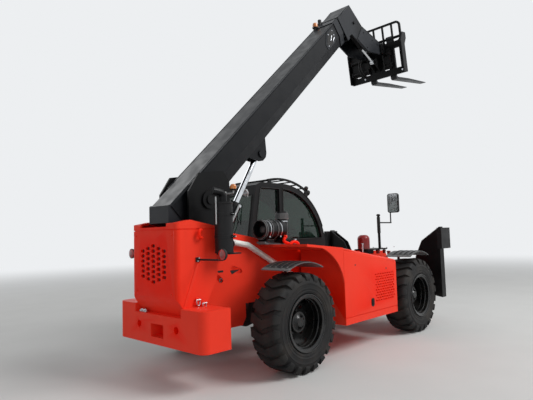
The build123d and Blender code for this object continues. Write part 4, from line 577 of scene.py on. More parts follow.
def settle(piece: bpy.types.Object) -> None:
    """Applies a piece's modifiers, so that it is a plain mesh."""
    graph = bpy.context.evaluated_depsgraph_get()
    mesh = bpy.data.meshes.new_from_object(piece.evaluated_get(graph), depsgraph=graph)
    piece.modifiers.clear()
    piece.data = mesh


def loose_object(name: str, data: bpy.types.ID) -> bpy.types.Object:
    """Links new data to the scene as an object at the origin."""
    made = bpy.data.objects.new(name, data)
    bpy.context.scene.collection.objects.link(made)
    return made


@dataclass
class Shape:
    """One piece in the making, in metres, in the machine's frame."""

    name: str
    finish: Finish
    body: str
    trees: Trees
    work: bmesh.types.BMesh = field(default_factory=bmesh.new)

    def lathe(
        self, profile: Sequence[tuple[float, float]], centre: Point, axis: Point, segments: int = 32,
        closed: bool = False,
    ) -> None:
        """Adds a turned form.

        Args:
            profile: Radius and distance along the axis of each ring, a pole where the radius is 0.
            centre: Where the axis starts.
            axis: Direction of the axis.
            segments: Faces round the form.
            closed: True where the last ring meets the first, as in a tyre.
        """
        along = Vector(axis).normalized()
        across = along.orthogonal().normalized()
        third = along.cross(across)
        rings = []
        for radius, height in profile:
            middle = Vector(centre) + along * height
            turns = [math.tau * i / segments for i in range(segments if radius > 1e-6 else 1)]
            rings.append([self.work.verts.new(middle + radius * (math.cos(t) * across + math.sin(t) * third))
                    for t in turns])
        pairs = list(zip(rings, rings[1:])) + ([(rings[-1], rings[0])] if closed else [])
        for first, second in pairs:
            for i in range(segments):
                j = i + 1
                corners = [first[i % len(first)], first[j % len(first)], second[j % len(second)],
                        second[i % len(second)]]
                self.work.faces.new(list(dict.fromkeys(corners)))
        if not closed:
            for ring in (rings[0], rings[-1]):
                if len(ring) > 1:
                    self.work.faces.new(ring)

    def prism(self, outline: Iterable[tuple[float, float]], origin: Point, right: Point, up: Point,
            depth: float) -> None:
        """Adds a flat outline pushed out along right x up.

        Args:
            outline: Corners as distances to the right and up.
            origin: Where the outline's zero lies.
            right: Direction of the first distance.
            up: Direction of the second.
            depth: How far it is pushed out.
        """
        x_dir, y_dir = Vector(right).normalized(), Vector(up).normalized()
        push = x_dir.cross(y_dir) * depth
        base = [self.work.verts.new(Vector(origin) + x_dir * x + y_dir * y) for x, y in outline]
        top = [self.work.verts.new(v.co + push) for v in base]
        self.work.faces.new(base)
        self.work.faces.new(top[::-1])
        for i, corner in enumerate(base):
            j = (i + 1) % len(base)
            self.work.faces.new([corner, base[j], top[j], top[i]])

    def block(self, centre: Point, size: Point, right: Point = X, up: Point = Z) -> None:
        """Adds a box of a size along right, up and right x up, about its centre."""
        wide, high, deep = size
        x_dir, y_dir = Vector(right).normalized(), Vector(up).normalized()
        corner = Vector(centre) - x_dir.cross(y_dir) * deep / 2
        half_w, half_h = wide / 2, high / 2
        outline = [(-half_w, -half_h), (half_w, -half_h), (half_w, half_h), (-half_w, half_h)]
        self.prism(outline, corner, right, up, deep)

    def tube(self, points: Sequence[Point], radius: float, sides: int = 12, straight: bool = False) -> None:
        """Adds a round tube.

        Args:
            points: Control points of its smooth line, or its corners.
            radius: Radius of the tube.
            sides: Faces round the tube.
            straight: True where the line has sharp corners.
        """
        curve = bpy.data.curves.new("path", "CURVE")
        curve.dimensions = "3D"
        curve.resolution_u = 8
        spline = curve.splines.new("POLY" if straight else "NURBS")
        spline.points.add(len(points) - 1)
        for point, place in zip(spline.points, points):
            point.co = (*place, 1)
        if not straight:
            spline.order_u = 3
            spline.use_endpoint_u = True
        values = {"Radius": radius, "Sides": sides, "Material": self.finish.material()}
        self.work.from_mesh(run_tree(loose_object("path", curve), self.trees.tube, values))

    def trim(self, edges: bpy.types.Mesh, radius: float) -> None:
        """Adds a round strip along the edges of a mesh."""
        values = {"Radius": radius, "Sides": 8, "Material": self.finish.material()}
        self.work.from_mesh(run_tree(loose_object("edges", edges), self.trees.tube, values))

    def copies(self, item: Shape, places: Sequence[Point], normal: Point) -> None:
        """Adds a copy of an item at each place, its Z turned to the normal.

        Args:
            item: Shape made about the origin.
            places: Where the copies go.
            normal: Direction that their Z takes.
        """
        turn = Vector(normal).to_track_quat("Z", "Y").to_euler()
        points = bpy.data.meshes.new("places")
        points.from_pydata([tuple(p) for p in places], [], [])
        stored = points.attributes.new("turn", "FLOAT_VECTOR", "POINT")
        stored.data.foreach_set("vector", [c for _ in places for c in turn])
        master = item.loose()
        values = {"Item": master, "Material": self.finish.material()}
        self.work.from_mesh(run_tree(loose_object("places", points), self.trees.scatter, values))
        bpy.data.objects.remove(master)

    def ring(self, item: Shape, count: int, centre: Point) -> None:
        """Adds copies of an item round the sideways axis through a centre."""
        values = {"Count": count, "Centre": tuple(centre), "Material": self.finish.material()}
        self.work.from_mesh(run_tree(item.loose(), self.trees.ring, values))

    def bolts(self, places: Sequence[Point], normal: Point, size: float) -> None:
        """Adds hexagon bolt heads on washers, size being the head's radius in metres."""
        item = Shape("bolt", self.finish, self.body, self.trees)
        item.lathe([(size * 1.5, -size * 0.3), (size * 1.5, size * 0.25)], (0, 0, 0), Z, 16)
        item.lathe([(size, 0.0), (size, size * 0.8), (size * 0.8, size)], (0, 0, 0), Z, 6)
        self.copies(item, places, normal)

    def copy_node(self, node: bpy.types.Object, round_edges: float = 0.0) -> None:
        """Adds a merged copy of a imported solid, its sharp edges rounded.

        Args:
            node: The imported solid.
            round_edges: Width of the rounding in metres.
        """
        self.work.from_mesh(node.data)
        place = Matrix.Translation(-ORIGIN_SHIFT) @ node.matrix_world
        bmesh.ops.transform(self.work, matrix=place, verts=self.work.verts)
        bmesh.ops.remove_doubles(self.work, verts=self.work.verts, dist=1e-5)
        bmesh.ops.dissolve_limit(
            self.work, angle_limit=math.radians(0.5), verts=self.work.verts, edges=self.work.edges
        )
        if round_edges:
            self.soften(round_edges)

    def soften(self, width: float, segments: int = 2) -> None:
        """Rounds every sharp edge made so far."""
        sharp = [e for e in self.work.edges if len(e.link_faces) == 2 and e.calc_face_angle(0) > math.radians(35)]
        bmesh.ops.bevel(
            self.work, geom=sharp, offset=width, segments=segments, profile=0.5, affect="EDGES", clamp_overlap=True
        )

    def cut(self, cutter: Shape) -> None:
        """Cuts another shape out of this one."""
        blank, tool = self.loose(), cutter.loose()
        modifier = blank.modifiers.new("cut", "BOOLEAN")
        modifier.object = tool
        modifier.operation = "DIFFERENCE"
        modifier.solver = "EXACT"
        settle(blank)
        self.work = bmesh.new()
        self.work.from_mesh(blank.data)
        bpy.data.objects.remove(blank)
        bpy.data.objects.remove(tool)

    def loose(self) -> bpy.types.Object:
        """Ends the making and returns the mesh as an object that isn't a piece yet."""
        bmesh.ops.recalc_face_normals(self.work, faces=self.work.faces)
        mesh = bpy.data.meshes.new(self.name)
        self.work.to_mesh(mesh)
        self.work.free()
        return loose_object(self.name, mesh)

    def done(self, *nodes: str, subdivide: int = 0) -> bpy.types.Object:
        """Ends the making: the piece gets its finish, rides on its body and replaces nodes.

        Args:
            nodes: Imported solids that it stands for.
            subdivide: Levels of subdivision, for soft forms.

        Returns:
            The finished piece.
        """
        piece = self.loose()
        piece.data.materials.clear()
        piece.data.materials.append(self.finish.material())
        if subdivide:
            modifier = piece.modifiers.new("soft", "SUBSURF")
            modifier.levels = modifier.render_levels = subdivide
            settle(piece)
        mesh = piece.data
        mesh.transform(Matrix.Translation(ORIGIN_SHIFT))
        mesh.name = self.name
        mesh.polygons.foreach_set("use_smooth", [True] * len(mesh.polygons))
        mesh.set_sharp_from_angle(angle=math.radians(38))
        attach(piece, self.body)
        if nodes:
            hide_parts(*nodes)
        log.info("%s rides on %s in %s", self.name, self.body, self.finish.name)
        return piece


@dataclass
class Maker:
    """What every sub-assembly is given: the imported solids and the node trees."""

    nodes: dict[str, bpy.types.Object]
    trees: Trees

    def shape(self, name: str, finish: Finish, body: str = "chassis") -> Shape:
        """Starts a piece."""
        return Shape(name, finish, body, self.trees)


@dataclass
class Wheels:
    """Four wheels: tyres with chevron lugs, rims with lock rings, hubs with bolts."""

    radius: float = 0.583
    centre_y: float = 0.945
    lugs: int = 22
    lug_length: float = 0.104
    sweep: float = 0.07
    hub_face: float = 0.060
    carcass_half: tuple[tuple[float, float], ...] = (
        (0.306, 0.166), (0.322, 0.172), (0.337, 0.181), (0.345, 0.192), (0.352, 0.197), (0.362, 0.198),
        (0.366, 0.2025), (0.372, 0.2025), (0.376, 0.199), (0.395, 0.202), (0.398, 0.2045), (0.406, 0.2045),
        (0.409, 0.202), (0.43, 0.2035), (0.452, 0.203), (0.455, 0.205), (0.461, 0.205), (0.464, 0.2015),
        (0.482, 0.198), (0.5, 0.192), (0.518, 0.183), (0.533, 0.171), (0.545, 0.155), (0.551, 0.135),
        (0.554, 0.1), (0.5555, 0.05),
    )
    lug_path: tuple[tuple[float, float], ...] = (
        (0.0, 0.583), (0.06, 0.583), (0.12, 0.582), (0.155, 0.579), (0.176, 0.573), (0.19, 0.560),
        (0.198, 0.542), (0.2025, 0.522), (0.2035, 0.505), (0.2, 0.494),
    )

    def corners(self) -> dict[str, tuple[float, int]]:
        """Place along the machine and side of each wheel, by name."""
        ends = {"rear": REAR_AXLE_X, "front": REAR_AXLE_X + WHEELBASE}
        return {f"{end}_{side}": (x, sign) for end, x in ends.items() for side, sign in SIDES.items()}

    def lug(self, maker: Maker, name: str) -> Shape:
        """One chevron lug at the top of a wheel, its arms wrapped over the shoulders."""
        item = maker.shape(name, TYRE)
        stations = [(-y, r) for y, r in self.lug_path[:0:-1]] + list(self.lug_path)
        rows = []
        for y, r in stations:
            shoulder = min(abs(y) / 0.165, 1.0)
            shift = self.sweep * shoulder**1.15 - 0.035
            half = self.lug_length / 2 * (1.0 if r > 0.56 else 0.72 + 0.28 * (r - 0.494) / 0.066)
            inner_y, inner_r = y * 0.86, r - 0.034
            row = []
            for offset, height, place in (
                (-half, r, y), (half, r, y), (half + 0.006, inner_r, inner_y), (-half - 0.006, inner_r, inner_y)
            ):
                angle = (shift + offset) / self.radius
                row.append(item.work.verts.new((height * math.sin(angle), place, height * math.cos(angle))))
            rows.append(row)
        for first, second in zip(rows, rows[1:]):
            for i in range(4):
                j = (i + 1) % 4
                item.work.faces.new([first[i], first[j], second[j], second[i]])
        item.work.faces.new(rows[0])
        item.work.faces.new(rows[-1])
        item.soften(0.007)
        return item

    def build(self, maker: Maker) -> None:
        """Makes the four wheels' pieces."""
        for corner, (x, sign) in self.corners().items():
            centre = Vector((x, sign * self.centre_y, self.radius))
            body = f"wheel_{corner}"
            tyre = maker.shape(f"tyre_tread_{corner}", TYRE, body)
            profile = list(self.carcass_half) + [(0.556, 0.0)] + [(r, -y) for r, y in self.carcass_half[::-1]]
            tyre.lathe(profile, centre, Y, 96, closed=True)
            tyre.ring(self.lug(maker, "lug"), self.lugs, centre)
            tyre.done(f"tyre_{corner}")
            rim = maker.shape(f"rim_rings_{corner}", RIM, body)
            for ring_radius, offset, size in ((0.329, 0.196, 0.008), (0.286, 0.13, 0.009), (0.287, 0.06, 0.006)):
                turns = [math.tau * i / 8 for i in range(8)]
                bead = [(ring_radius + size * math.cos(t), sign * (offset + size * math.sin(t))) for t in turns]
                rim.lathe(bead, centre, Y, 72, closed=True)
            face = sign * self.hub_face
            hub = [(0.0, face + sign * 0.03), (0.055, face + sign * 0.03), (0.07, face + sign * 0.012), (0.1, face)]
            rim.lathe(hub + [(0.1, face - sign * 0.01)], centre, Y, 40)
            rim.done()
            nuts = maker.shape(f"hub_bolts_{corner}", RIM, body)
            places = [
                centre + Vector((0.088 * math.cos(t), face, 0.088 * math.sin(t)))
                for t in (math.tau * i / 12 for i in range(12))
            ]
            nuts.bolts(places, Y * sign, 0.007)
            nuts.done()
            stem = maker.shape(f"valve_{corner}", HOSE, body)
            foot = centre + Vector((0.2, sign * -0.04, 0.19))
            stem.tube([foot, foot + Y * sign * 0.05, foot + Vector((0.01, sign * 0.09, 0.01))], 0.006, 8)
            stem.done()


def rounded(width: float, height: float, radius: float, steps: int = 6) -> list[tuple[float, float]]:
    """Outline of a rectangle about zero with round corners."""
    corners = []
    for i, (sx, sy) in enumerate(((1, 1), (-1, 1), (-1, -1), (1, -1))):
        for k in range(steps + 1):
            turn = math.pi / 2 * (i + k / steps)
            x, y = sx * (width / 2 - radius), sy * (height / 2 - radius)
            corners.append((x + radius * math.cos(turn), y + radius * math.sin(turn)))
    return corners


def edges_within(node: bpy.types.Object, low: Point, high: Point) -> bpy.types.Mesh:
    """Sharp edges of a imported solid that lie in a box.

    Args:
        node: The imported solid.
        low: Lowest corner of the box.
        high: Highest corner.

    Returns:
        Mesh of those edges alone.
    """
    work = bmesh.new()
    work.from_mesh(node.data)
    bmesh.ops.translate(work, vec=-ORIGIN_SHIFT, verts=work.verts)
    bmesh.ops.remove_doubles(work, verts=work.verts, dist=1e-5)
    inside = {v for v in work.verts if all(a <= c <= b for a, c, b in zip(low, v.co, high))}
    kept = {
        e for e in work.edges
        if len(e.link_faces) == 2 and e.calc_face_angle(0) > math.radians(40) and inside.issuperset(e.verts)
    }
    bmesh.ops.delete(work, geom=work.faces[:], context="FACES_ONLY")
    bmesh.ops.delete(work, geom=[e for e in work.edges if e not in kept], context="EDGES")
    bmesh.ops.delete(work, geom=[v for v in work.verts if not v.link_edges], context="VERTS")
    mesh = bpy.data.meshes.new("edges")
    work.to_mesh(mesh)
    work.free()
    return mesh


@dataclass
class RearCover:
    """Rear cover with its hexagon grille, its lid seam, screws, hook, strap and tow shackles."""

    face_x: float = -3.265
    half_width: float = 0.45
    grille_z: float = 1.33
    column_pitch: float = 0.107
    row_pitch: float = 0.058
    slot: tuple[float, float] = (0.085, 0.038)
    rows: tuple[int, ...] = (6, 7, 8, 7, 6)
    seam_z: float = 1.712

    def slots(self) -> list[Vector]:
        """Centre of each slot of the grille."""
        places = []
        for column, count in enumerate(self.rows):
            y = (column - 2) * self.column_pitch
            places += [
                Vector((self.face_x, y, self.grille_z + (row - (count - 1) / 2) * self.row_pitch))
                for row in range(count)
            ]
        return places

    def build(self, maker: Maker) -> None:
        """Makes the pieces of the rear cover."""
        cover = maker.shape("rear_cover_sheet", RED)
        cover.copy_node(maker.nodes["rear_cover"])
        cutter = maker.shape("slots", RED)
        slot = maker.shape("slot", RED)
        wide, high = self.slot
        hexagon = [(wide / 2, 0), (wide * 0.32, high / 2), (-wide * 0.32, high / 2), (-wide / 2, 0),
                   (-wide * 0.32, -high / 2), (wide * 0.32, -high / 2)]
        slot.prism(hexagon, (0, 0, -0.04), X, Y, 0.06)
        cutter.copies(slot, self.slots(), -X)
        cover.cut(cutter)
        seam = maker.shape("seam", RED)
        seam.block((-3.0, 0, self.seam_z), (0.7, 1.0, 0.009), X, Y)
        core = maker.shape("seam_core", RED)
        core.prism(rounded(0.9, 2 * self.half_width - 0.024, 0.05), (self.face_x + 0.462, 0, self.seam_z - 0.02), X,
                Y, 0.04)
        seam.cut(core)
        cover.cut(seam)
        cover.done("rear_cover")
        # A deep red plate behind the slots: its darker red is painted shade for the inside seen through the slots.
        plate = maker.shape("rear_grille_backing", TURRET)
        plate.block((self.face_x + 0.034, 0, self.grille_z), (0.58, 0.52, 0.006), Y, Z)
        plate.done()
        screws = maker.shape("rear_cover_screws", RED)
        places = [(self.face_x, sign * y, z) for sign in SIDES.values() for y, z in ((0.366, 1.647), (0.351, 1.005))]
        screws.bolts(places, -X, 0.010)
        screws.done()
        latch = maker.shape("rear_cover_latch", ZINC)
        latch.tube([(-3.19, 0.40, 0.766), (-3.18, 0.37, 0.79), (-3.185, 0.33, 0.768), (-3.175, 0.30, 0.79),
                (-3.19, 0.26, 0.767)], 0.011, 10)
        latch.block((-3.187, 0.325, 0.765), (0.03, 0.14, 0.012), X, Y)
        latch.done()
        hook = maker.shape("hose_hook", RED)
        hook.tube(
            [(-2.945, -0.451, 1.70), (-2.945, -0.49, 1.70), (-2.985, -0.497, 1.695), (-2.995, -0.497, 1.655),
             (-2.98, -0.497, 1.615), (-2.94, -0.49, 1.612), (-2.935, -0.451, 1.612)], 0.018, 12
        )
        hook.done()
        strap = maker.shape("cover_strap", RED)
        strap.prism(
            [(-3.014, 1.285), (-2.984, 1.340), (-2.972, 1.30), (-3.155, 0.85), (-3.19, 0.85)],
            (0, -self.half_width - 0.006, 0), X, Z, -0.008
        )
        strap.done()
        for name, (x, y, z) in (("upper", (-3.009, -0.478, 0.927)), ("lower", (-2.941, -0.5, 0.887))):
            lug = maker.shape(f"shackle_lug_{name}", RED)
            lug.prism(rounded(0.05, 0.07, 0.02), (x, y + 0.01, z), X, Z, 0.012)
            lug.block((x, y + 0.02, z - 0.03), (0.05, 0.03, 0.04))
            lug.done()
            shackle = maker.shape(f"shackle_{name}", ZINC)
            shackle.tube([(x - 0.022, y - 0.01, z + 0.005), (x - 0.026, y - 0.01, z - 0.04), (x, y - 0.01, z - 0.062),
                          (x + 0.026, y - 0.01, z - 0.04), (x + 0.022, y - 0.01, z + 0.005)], 0.006, 8)
            shackle.tube([(x - 0.032, y - 0.01, z + 0.005), (x + 0.032, y - 0.01, z + 0.005)], 0.007, 8,
                    straight=True)
            shackle.done()


@dataclass
class RearLamps:
    """Two tail lamps on bent brackets and the flashing beacon beside the boom."""

    lamp_y: float = 0.9
    lamp_z: float = 1.428
    beacon: tuple[float, float, float] = (-2.465, -0.5, 2.18)

    def build(self, maker: Maker) -> None:
        """Makes the lamps' pieces."""
        for side, sign in SIDES.items():
            place = (-2.967, sign * self.lamp_y, self.lamp_z)
            cup = maker.shape(f"tail_lamp_cup_{side}", GASKET)
            cup.lathe([(0.0, 0.0), (0.03, 0.0), (0.05, 0.01), (0.062, 0.026), (0.064, 0.045), (0.058, 0.048),
                       (0.056, 0.036), (0.0, 0.036)], place, -X, 40)
            cup.tube([(-2.985, sign * 0.452, 1.37), (-2.985, sign * 0.64, 1.37), (-2.985, sign * 0.83, 1.371),
                      (-2.98, sign * 0.888, 1.378), (-2.978, sign * 0.89, 1.41)], 0.011, 10)
            cup.block((-2.985, sign * 0.462, 1.37), (0.05, 0.05, 0.016))
            cup.done(f"tail_lamp_{side}")
            lens = maker.shape(f"tail_lamp_lens_{side}", LAMP)
            lens.lathe([(0.057, 0.037), (0.056, 0.048), (0.045, 0.053), (0.025, 0.056), (0.0, 0.057)], place, -X, 40)
            lens.done()
            foot = maker.shape(f"tail_lamp_bolts_{side}", ZINC)
            foot.bolts([(-2.977, sign * 0.474, 1.385), (-2.995, sign * 0.474, 1.356)], Y * sign, 0.006)
            foot.done()
        x, y, z = self.beacon
        arm = maker.shape("beacon_arm", PALE)
        arm.tube([(x, -0.342, z - 0.045), (x, -0.43, z - 0.045), (x, -0.495, z - 0.048), (x, y, z - 0.03),
                (x, y, z)], 0.011, 12)
        arm.block((x, -0.346, z - 0.045), (0.05, 0.06, 0.008), X, Z)
        arm.done("beacon")
        base = maker.shape("beacon_base", GASKET)
        base.lathe([(0.0, 0.0), (0.036, 0.0), (0.042, 0.005), (0.044, 0.014), (0.04, 0.017), (0.0, 0.017)],
                (x, y, z - 0.012), Z, 36)
        base.done()
        dome = maker.shape("beacon_dome", AMBER)
        dome.lathe([(0.038, 0.005), (0.0385, 0.025), (0.037, 0.042), (0.032, 0.053), (0.022, 0.061), (0.01, 0.064),
                    (0.0, 0.065)], (x, y, z), Z, 36)
        dome.done()


@dataclass
class Exhaust:
    """Clamps, lid and drain of the upright muffler, and the flanges of the exhaust pipe."""

    centre: tuple[float, float] = (-2.715, -0.6)
    radius: float = 0.105
    bands: tuple[float, ...] = (1.616, 1.872)

    def build(self, maker: Maker) -> None:
        """Makes the pieces round the muffler."""
        x, y = self.centre
        clamps = maker.shape("muffler_clamps", MUFFLER)
        r = self.radius
        for z in self.bands:
            profile = [(r - 0.001, -0.016), (r + 0.004, -0.014), (r + 0.004, 0.014), (r - 0.001, 0.016)]
            clamps.lathe(profile, (x, y, z), Z, 48, closed=True)
            clamps.block((x + 0.03, y - r - 0.012, z), (0.012, 0.03, 0.03), X, Z)
            clamps.block((x + 0.055, y - r - 0.008, z), (0.012, 0.03, 0.03), X, Z)
        clamps.lathe([(r - 0.002, 0.0), (r + 0.006, 0.003), (r + 0.006, 0.011), (r - 0.002, 0.014)], (x, y, 1.985),
                Z, 48, closed=True)
        clamps.lathe([(r - 0.002, 0.0), (r + 0.005, 0.003), (r + 0.005, 0.01), (r - 0.002, 0.013)], (x, y, 1.44), Z,
                48, closed=True)
        clamps.done()
        pins = maker.shape("muffler_clamp_bolts", ZINC)
        for z in self.bands:
            pins.tube([(x + 0.015, y - r - 0.015, z), (x + 0.075, y - r - 0.015, z)], 0.005, 8, straight=True)
        pins.done()
        drain = maker.shape("muffler_side_tube", PALE)
        drain.tube([(-2.845, -0.62, 2.066), (-2.845, -0.62, 2.0), (-2.845, -0.62, 1.80), (-2.845, -0.62, 1.757)],
                0.008, 10)
        drain.done()
        flange = maker.shape("exhaust_flange", MUFFLER)
        flange.lathe([(0.038, -0.016), (0.056, -0.014), (0.056, 0.014), (0.038, 0.016)], (-2.56, -0.525, 1.529),
                (0.86, 0.51, 0), 32, closed=True)
        flange.done()


@dataclass
class AirCleaner:
    """Air cleaner with its open end, clamps and ribbed rain cap, and the red pipe stubs beside it."""

    axis: tuple[float, float] = (-0.47, 1.69)
    rear_x: float = -2.005
    radius: float = 0.122
    cap_x: float = -1.575

    def build(self, maker: Maker) -> None:
        """Makes the pieces of the air cleaner."""
        y, z = self.axis
        shell = maker.shape("air_cleaner_shell", CLEANER)
        shell.copy_node(maker.nodes["air_cleaner"])
        bore = maker.shape("bore", CLEANER)
        bore.lathe([(0.0, 0.055), (0.05, 0.055), (0.055, 0.075), (0.088, 0.075), (0.1, 0.0), (0.104, -0.01)],
                (self.rear_x, y, z), X, 48)
        shell.cut(bore)
        shell.lathe([(self.radius - 0.004, 0.0), (self.radius + 0.003, 0.0), (self.radius + 0.003, 0.012),
                     (self.radius - 0.004, 0.012)], (self.rear_x, y, z), X, 64, closed=True)
        for i in range(24):
            turn = math.tau * i / 24
            out = Vector((math.cos(turn), math.sin(turn), 0))
            shell.block(Vector((self.cap_x, -0.47, 1.863)) + out * 0.086, (0.008, 0.062, 0.008), out, Z)
        shell.lathe([(0.087, 0.0), (0.092, 0.004), (0.092, 0.01), (0.0865, 0.014)], (self.cap_x, -0.47, 1.825), Z,
                48, closed=True)
        shell.done("air_cleaner")
        clamp = maker.shape("air_cleaner_clamps", ZINC)
        for along in (0.095, 0.30):
            clamp.lathe([(self.radius - 0.001, -0.006), (self.radius + 0.002, -0.006), (self.radius + 0.002, 0.006),
                         (self.radius - 0.001, 0.006)], (self.rear_x + along, y, z), X, 64, closed=True)
            clamp.block((self.rear_x + along, y - self.radius * 0.7, z - self.radius * 0.75), (0.02, 0.016, 0.014))
        clamp.lathe([(0.0765, 0.0), (0.078, 0.0), (0.078, 0.012), (0.0765, 0.012)], (self.cap_x, -0.47, 1.79), Z,
                48, closed=True)
        clamp.done()
        pipes = maker.shape("red_pipe_elbows", RED)
        pipes.tube([(-1.56, -0.50, 1.60), (-1.58, -0.55, 1.60), (-1.64, -0.565, 1.575), (-1.665, -0.57, 1.53),
                (-1.60, -0.60, 1.50),
                    (-1.56, -0.60, 1.49)], 0.021, 14)
        pipes.tube([(-1.60, -0.62, 1.49), (-1.56, -0.63, 1.522), (-1.50, -0.63, 1.522), (-1.44, -0.62, 1.51),
                (-1.40, -0.6, 1.49)], 0.02, 14)
        pipes.lathe([(0.022, 0.0), (0.028, 0.002), (0.028, 0.014), (0.022, 0.016)], (-1.628, -0.562, 1.585),
                (0.8, 0.1, 0.5), 24, closed=True)
        pipes.done()
        stub = maker.shape("breather_stub", ZINC)
        stub.lathe([(0.014, 0.0), (0.014, 0.05), (0.02, 0.052), (0.02, 0.066), (0.0, 0.07)], (-1.419, -0.56, 1.492),
                Z, 20)
        stub.done()


@dataclass
class EngineCover:
    """Lift-up engine cover with a grille of slots, a seam, its latch and small fittings."""

    face_y: float = -1.08
    grille: tuple[float, float, float, float] = (-0.285, 0.245, 0.62, 1.03)
    columns: int = 8
    rows: int = 11
    slot: tuple[float, float] = (0.044, 0.02)
    seam_z: float = 0.502

    def slots(self) -> list[Vector]:
        """Centre of each slot, alternate rows half a pitch aside."""
        left, right, low, high = self.grille
        pitch_x, pitch_z = (right - left) / self.columns, (high - low) / self.rows
        places = []
        for row in range(self.rows):
            shift = 0.5 if row % 2 else 0.0
            places += [
                Vector((left + (column + 0.25 + shift) * pitch_x, self.face_y, low + (row + 0.5) * pitch_z))
                for column in range(self.columns)
            ]
        return places

    def build(self, maker: Maker) -> None:
        """Makes the pieces of the engine cover, which all ride on the engine cover's body."""
        cover = maker.shape("engine_cover_sheet", RED, "engine_cover")
        cover.copy_node(maker.nodes["engine_cover"])
        cutter = maker.shape("slots", RED)
        slot = maker.shape("slot", RED)
        wide, high = self.slot
        slot.prism(rounded(wide, high, high / 2 - 0.0005, 3), (0, 0, -0.06), X, Y, 0.08)
        cutter.copies(slot, self.slots(), -Y)
        cover.cut(cutter)
        seam = maker.shape("seam", RED)
        seam.block((-0.36, self.face_y, self.seam_z), (1.5, 0.009, 0.024), X, Z)
        cover.cut(seam)
        cover.done("engine_cover")
        # A deep red plate behind the slots: its darker red is painted shade for the inside seen through the slots.
        core = maker.shape("engine_radiator_core", TURRET, "engine_cover")
        left, right, low, high = self.grille
        core.block(((left + right) / 2, self.face_y + 0.032, (low + high) / 2),
                (right - left + 0.04, high - low + 0.03, 0.006), X, Z)
        core.done()
        latch = maker.shape("cover_latch", GASKET, "engine_cover")
        latch.prism(rounded(0.075, 0.115, 0.034, 8), (-0.379, self.face_y + 0.002, 0.632), X, Z, 0.009)
        latch.block((-0.379, self.face_y - 0.01, 0.632), (0.03, 0.06, 0.012), X, Z)
        latch.soften(0.003)
        latch.done()
        studs = maker.shape("cover_studs", TURRET, "engine_cover")
        studs.bolts([(-0.79, self.face_y, 1.18), (0.029, self.face_y, 1.08)], -Y, 0.008)
        studs.done()


@dataclass
class FrameFittings:
    """Small fittings on the red frame and the front deck: painted shade in the frame's slots, grease points, filler
    fittings.
    """

    plate_y: float = -0.3

    def build(self, maker: Maker) -> None:
        """Makes the pieces on the frame."""
        # Dark patches on the frame plate: painted shade for the inside of its slots.
        dark = maker.shape("frame_openings", OPENING_SHADE)
        dark.prism(rounded(0.09, 0.024, 0.011), (-2.523, self.plate_y + 0.003, 1.198), X, Z, 0.005)
        dark.prism([(-2.369, 1.198), (-2.339, 1.149), (-2.208, 1.198)], (0, self.plate_y + 0.003, 0), X, Z, 0.005)
        dark.done()
        rings = maker.shape("frame_rings", ZINC)
        rings.lathe([(0.014, 0.0), (0.024, 0.0), (0.024, 0.008), (0.014, 0.008)], (-2.526, self.plate_y, 1.095), -Y,
                28, closed=True)
        rings.bolts([(x, self.plate_y, z) for x, z in ((1.3, 1.1), (1.42, 0.9), (1.3, 0.7))], -Y, 0.011)
        rings.done()
        deck = maker.shape("deck_red_fittings", TURRET)
        for x, z, r in ((0.81, 1.285, 0.03), (1.02, 1.28, 0.024), (1.17, 1.25, 0.028)):
            deck.lathe([(r, -0.03), (r, 0.012), (r * 1.25, 0.014), (r * 1.25, 0.03), (r * 0.8, 0.036),
                    (0.0, 0.037)], (x, -0.5, z), Z, 24)
        deck.done()
        fittings = maker.shape("deck_silver_fittings", ZINC)
        fittings.lathe([(0.012, 0.0), (0.012, 0.12), (0.018, 0.122), (0.018, 0.14), (0.0, 0.145)],
                (0.337, -0.5, 1.30), Z, 20)
        fittings.bolts([(x, y, 1.352) for x in (0.75, 0.9, 1.15) for y in (-0.36, -0.62)], Z, 0.009)
        fittings.done()
        knob = maker.shape("mirror_post_knob", GASKET)
        knob.lathe([(0.014, 0.0), (0.03, 0.004), (0.034, 0.018), (0.028, 0.032), (0.012, 0.038), (0.0, 0.039)],
                (0.875, -0.5, 1.885), Z, 28)
        knob.tube([(0.875, -0.5, 1.60), (0.875, -0.5, 1.87)], 0.028, 16, straight=True)
        knob.lathe([(0.02, -0.02), (0.024, -0.015), (0.024, 0.015), (0.02, 0.02)], (0.875, -0.5, 1.775), Z, 24)
        knob.done()


@dataclass
class Mirror:
    """Silvered glass in a black housing."""

    face_x: float = 1.285
    centre: tuple[float, float] = (-0.56, 2.12)
    size: tuple[float, float] = (0.186, 0.316)

    def build(self, maker: Maker) -> None:
        """Makes the glass and its rim."""
        y, z = self.centre
        glass = maker.shape("mirror_glass", MIRROR)
        glass.prism(rounded(*self.size, 0.03), (self.face_x + 0.003, y, z), -Y, Z, 0.006)
        glass.done()
        rim = maker.shape("mirror_rim", GASKET)
        outline = rounded(self.size[0] + 0.008, self.size[1] + 0.008, 0.034)
        loop = [(self.face_x - 0.001, y - a, z + b) for a, b in outline]
        rim.tube(loop + loop[:2], 0.006, 8, straight=True)
        rim.done()


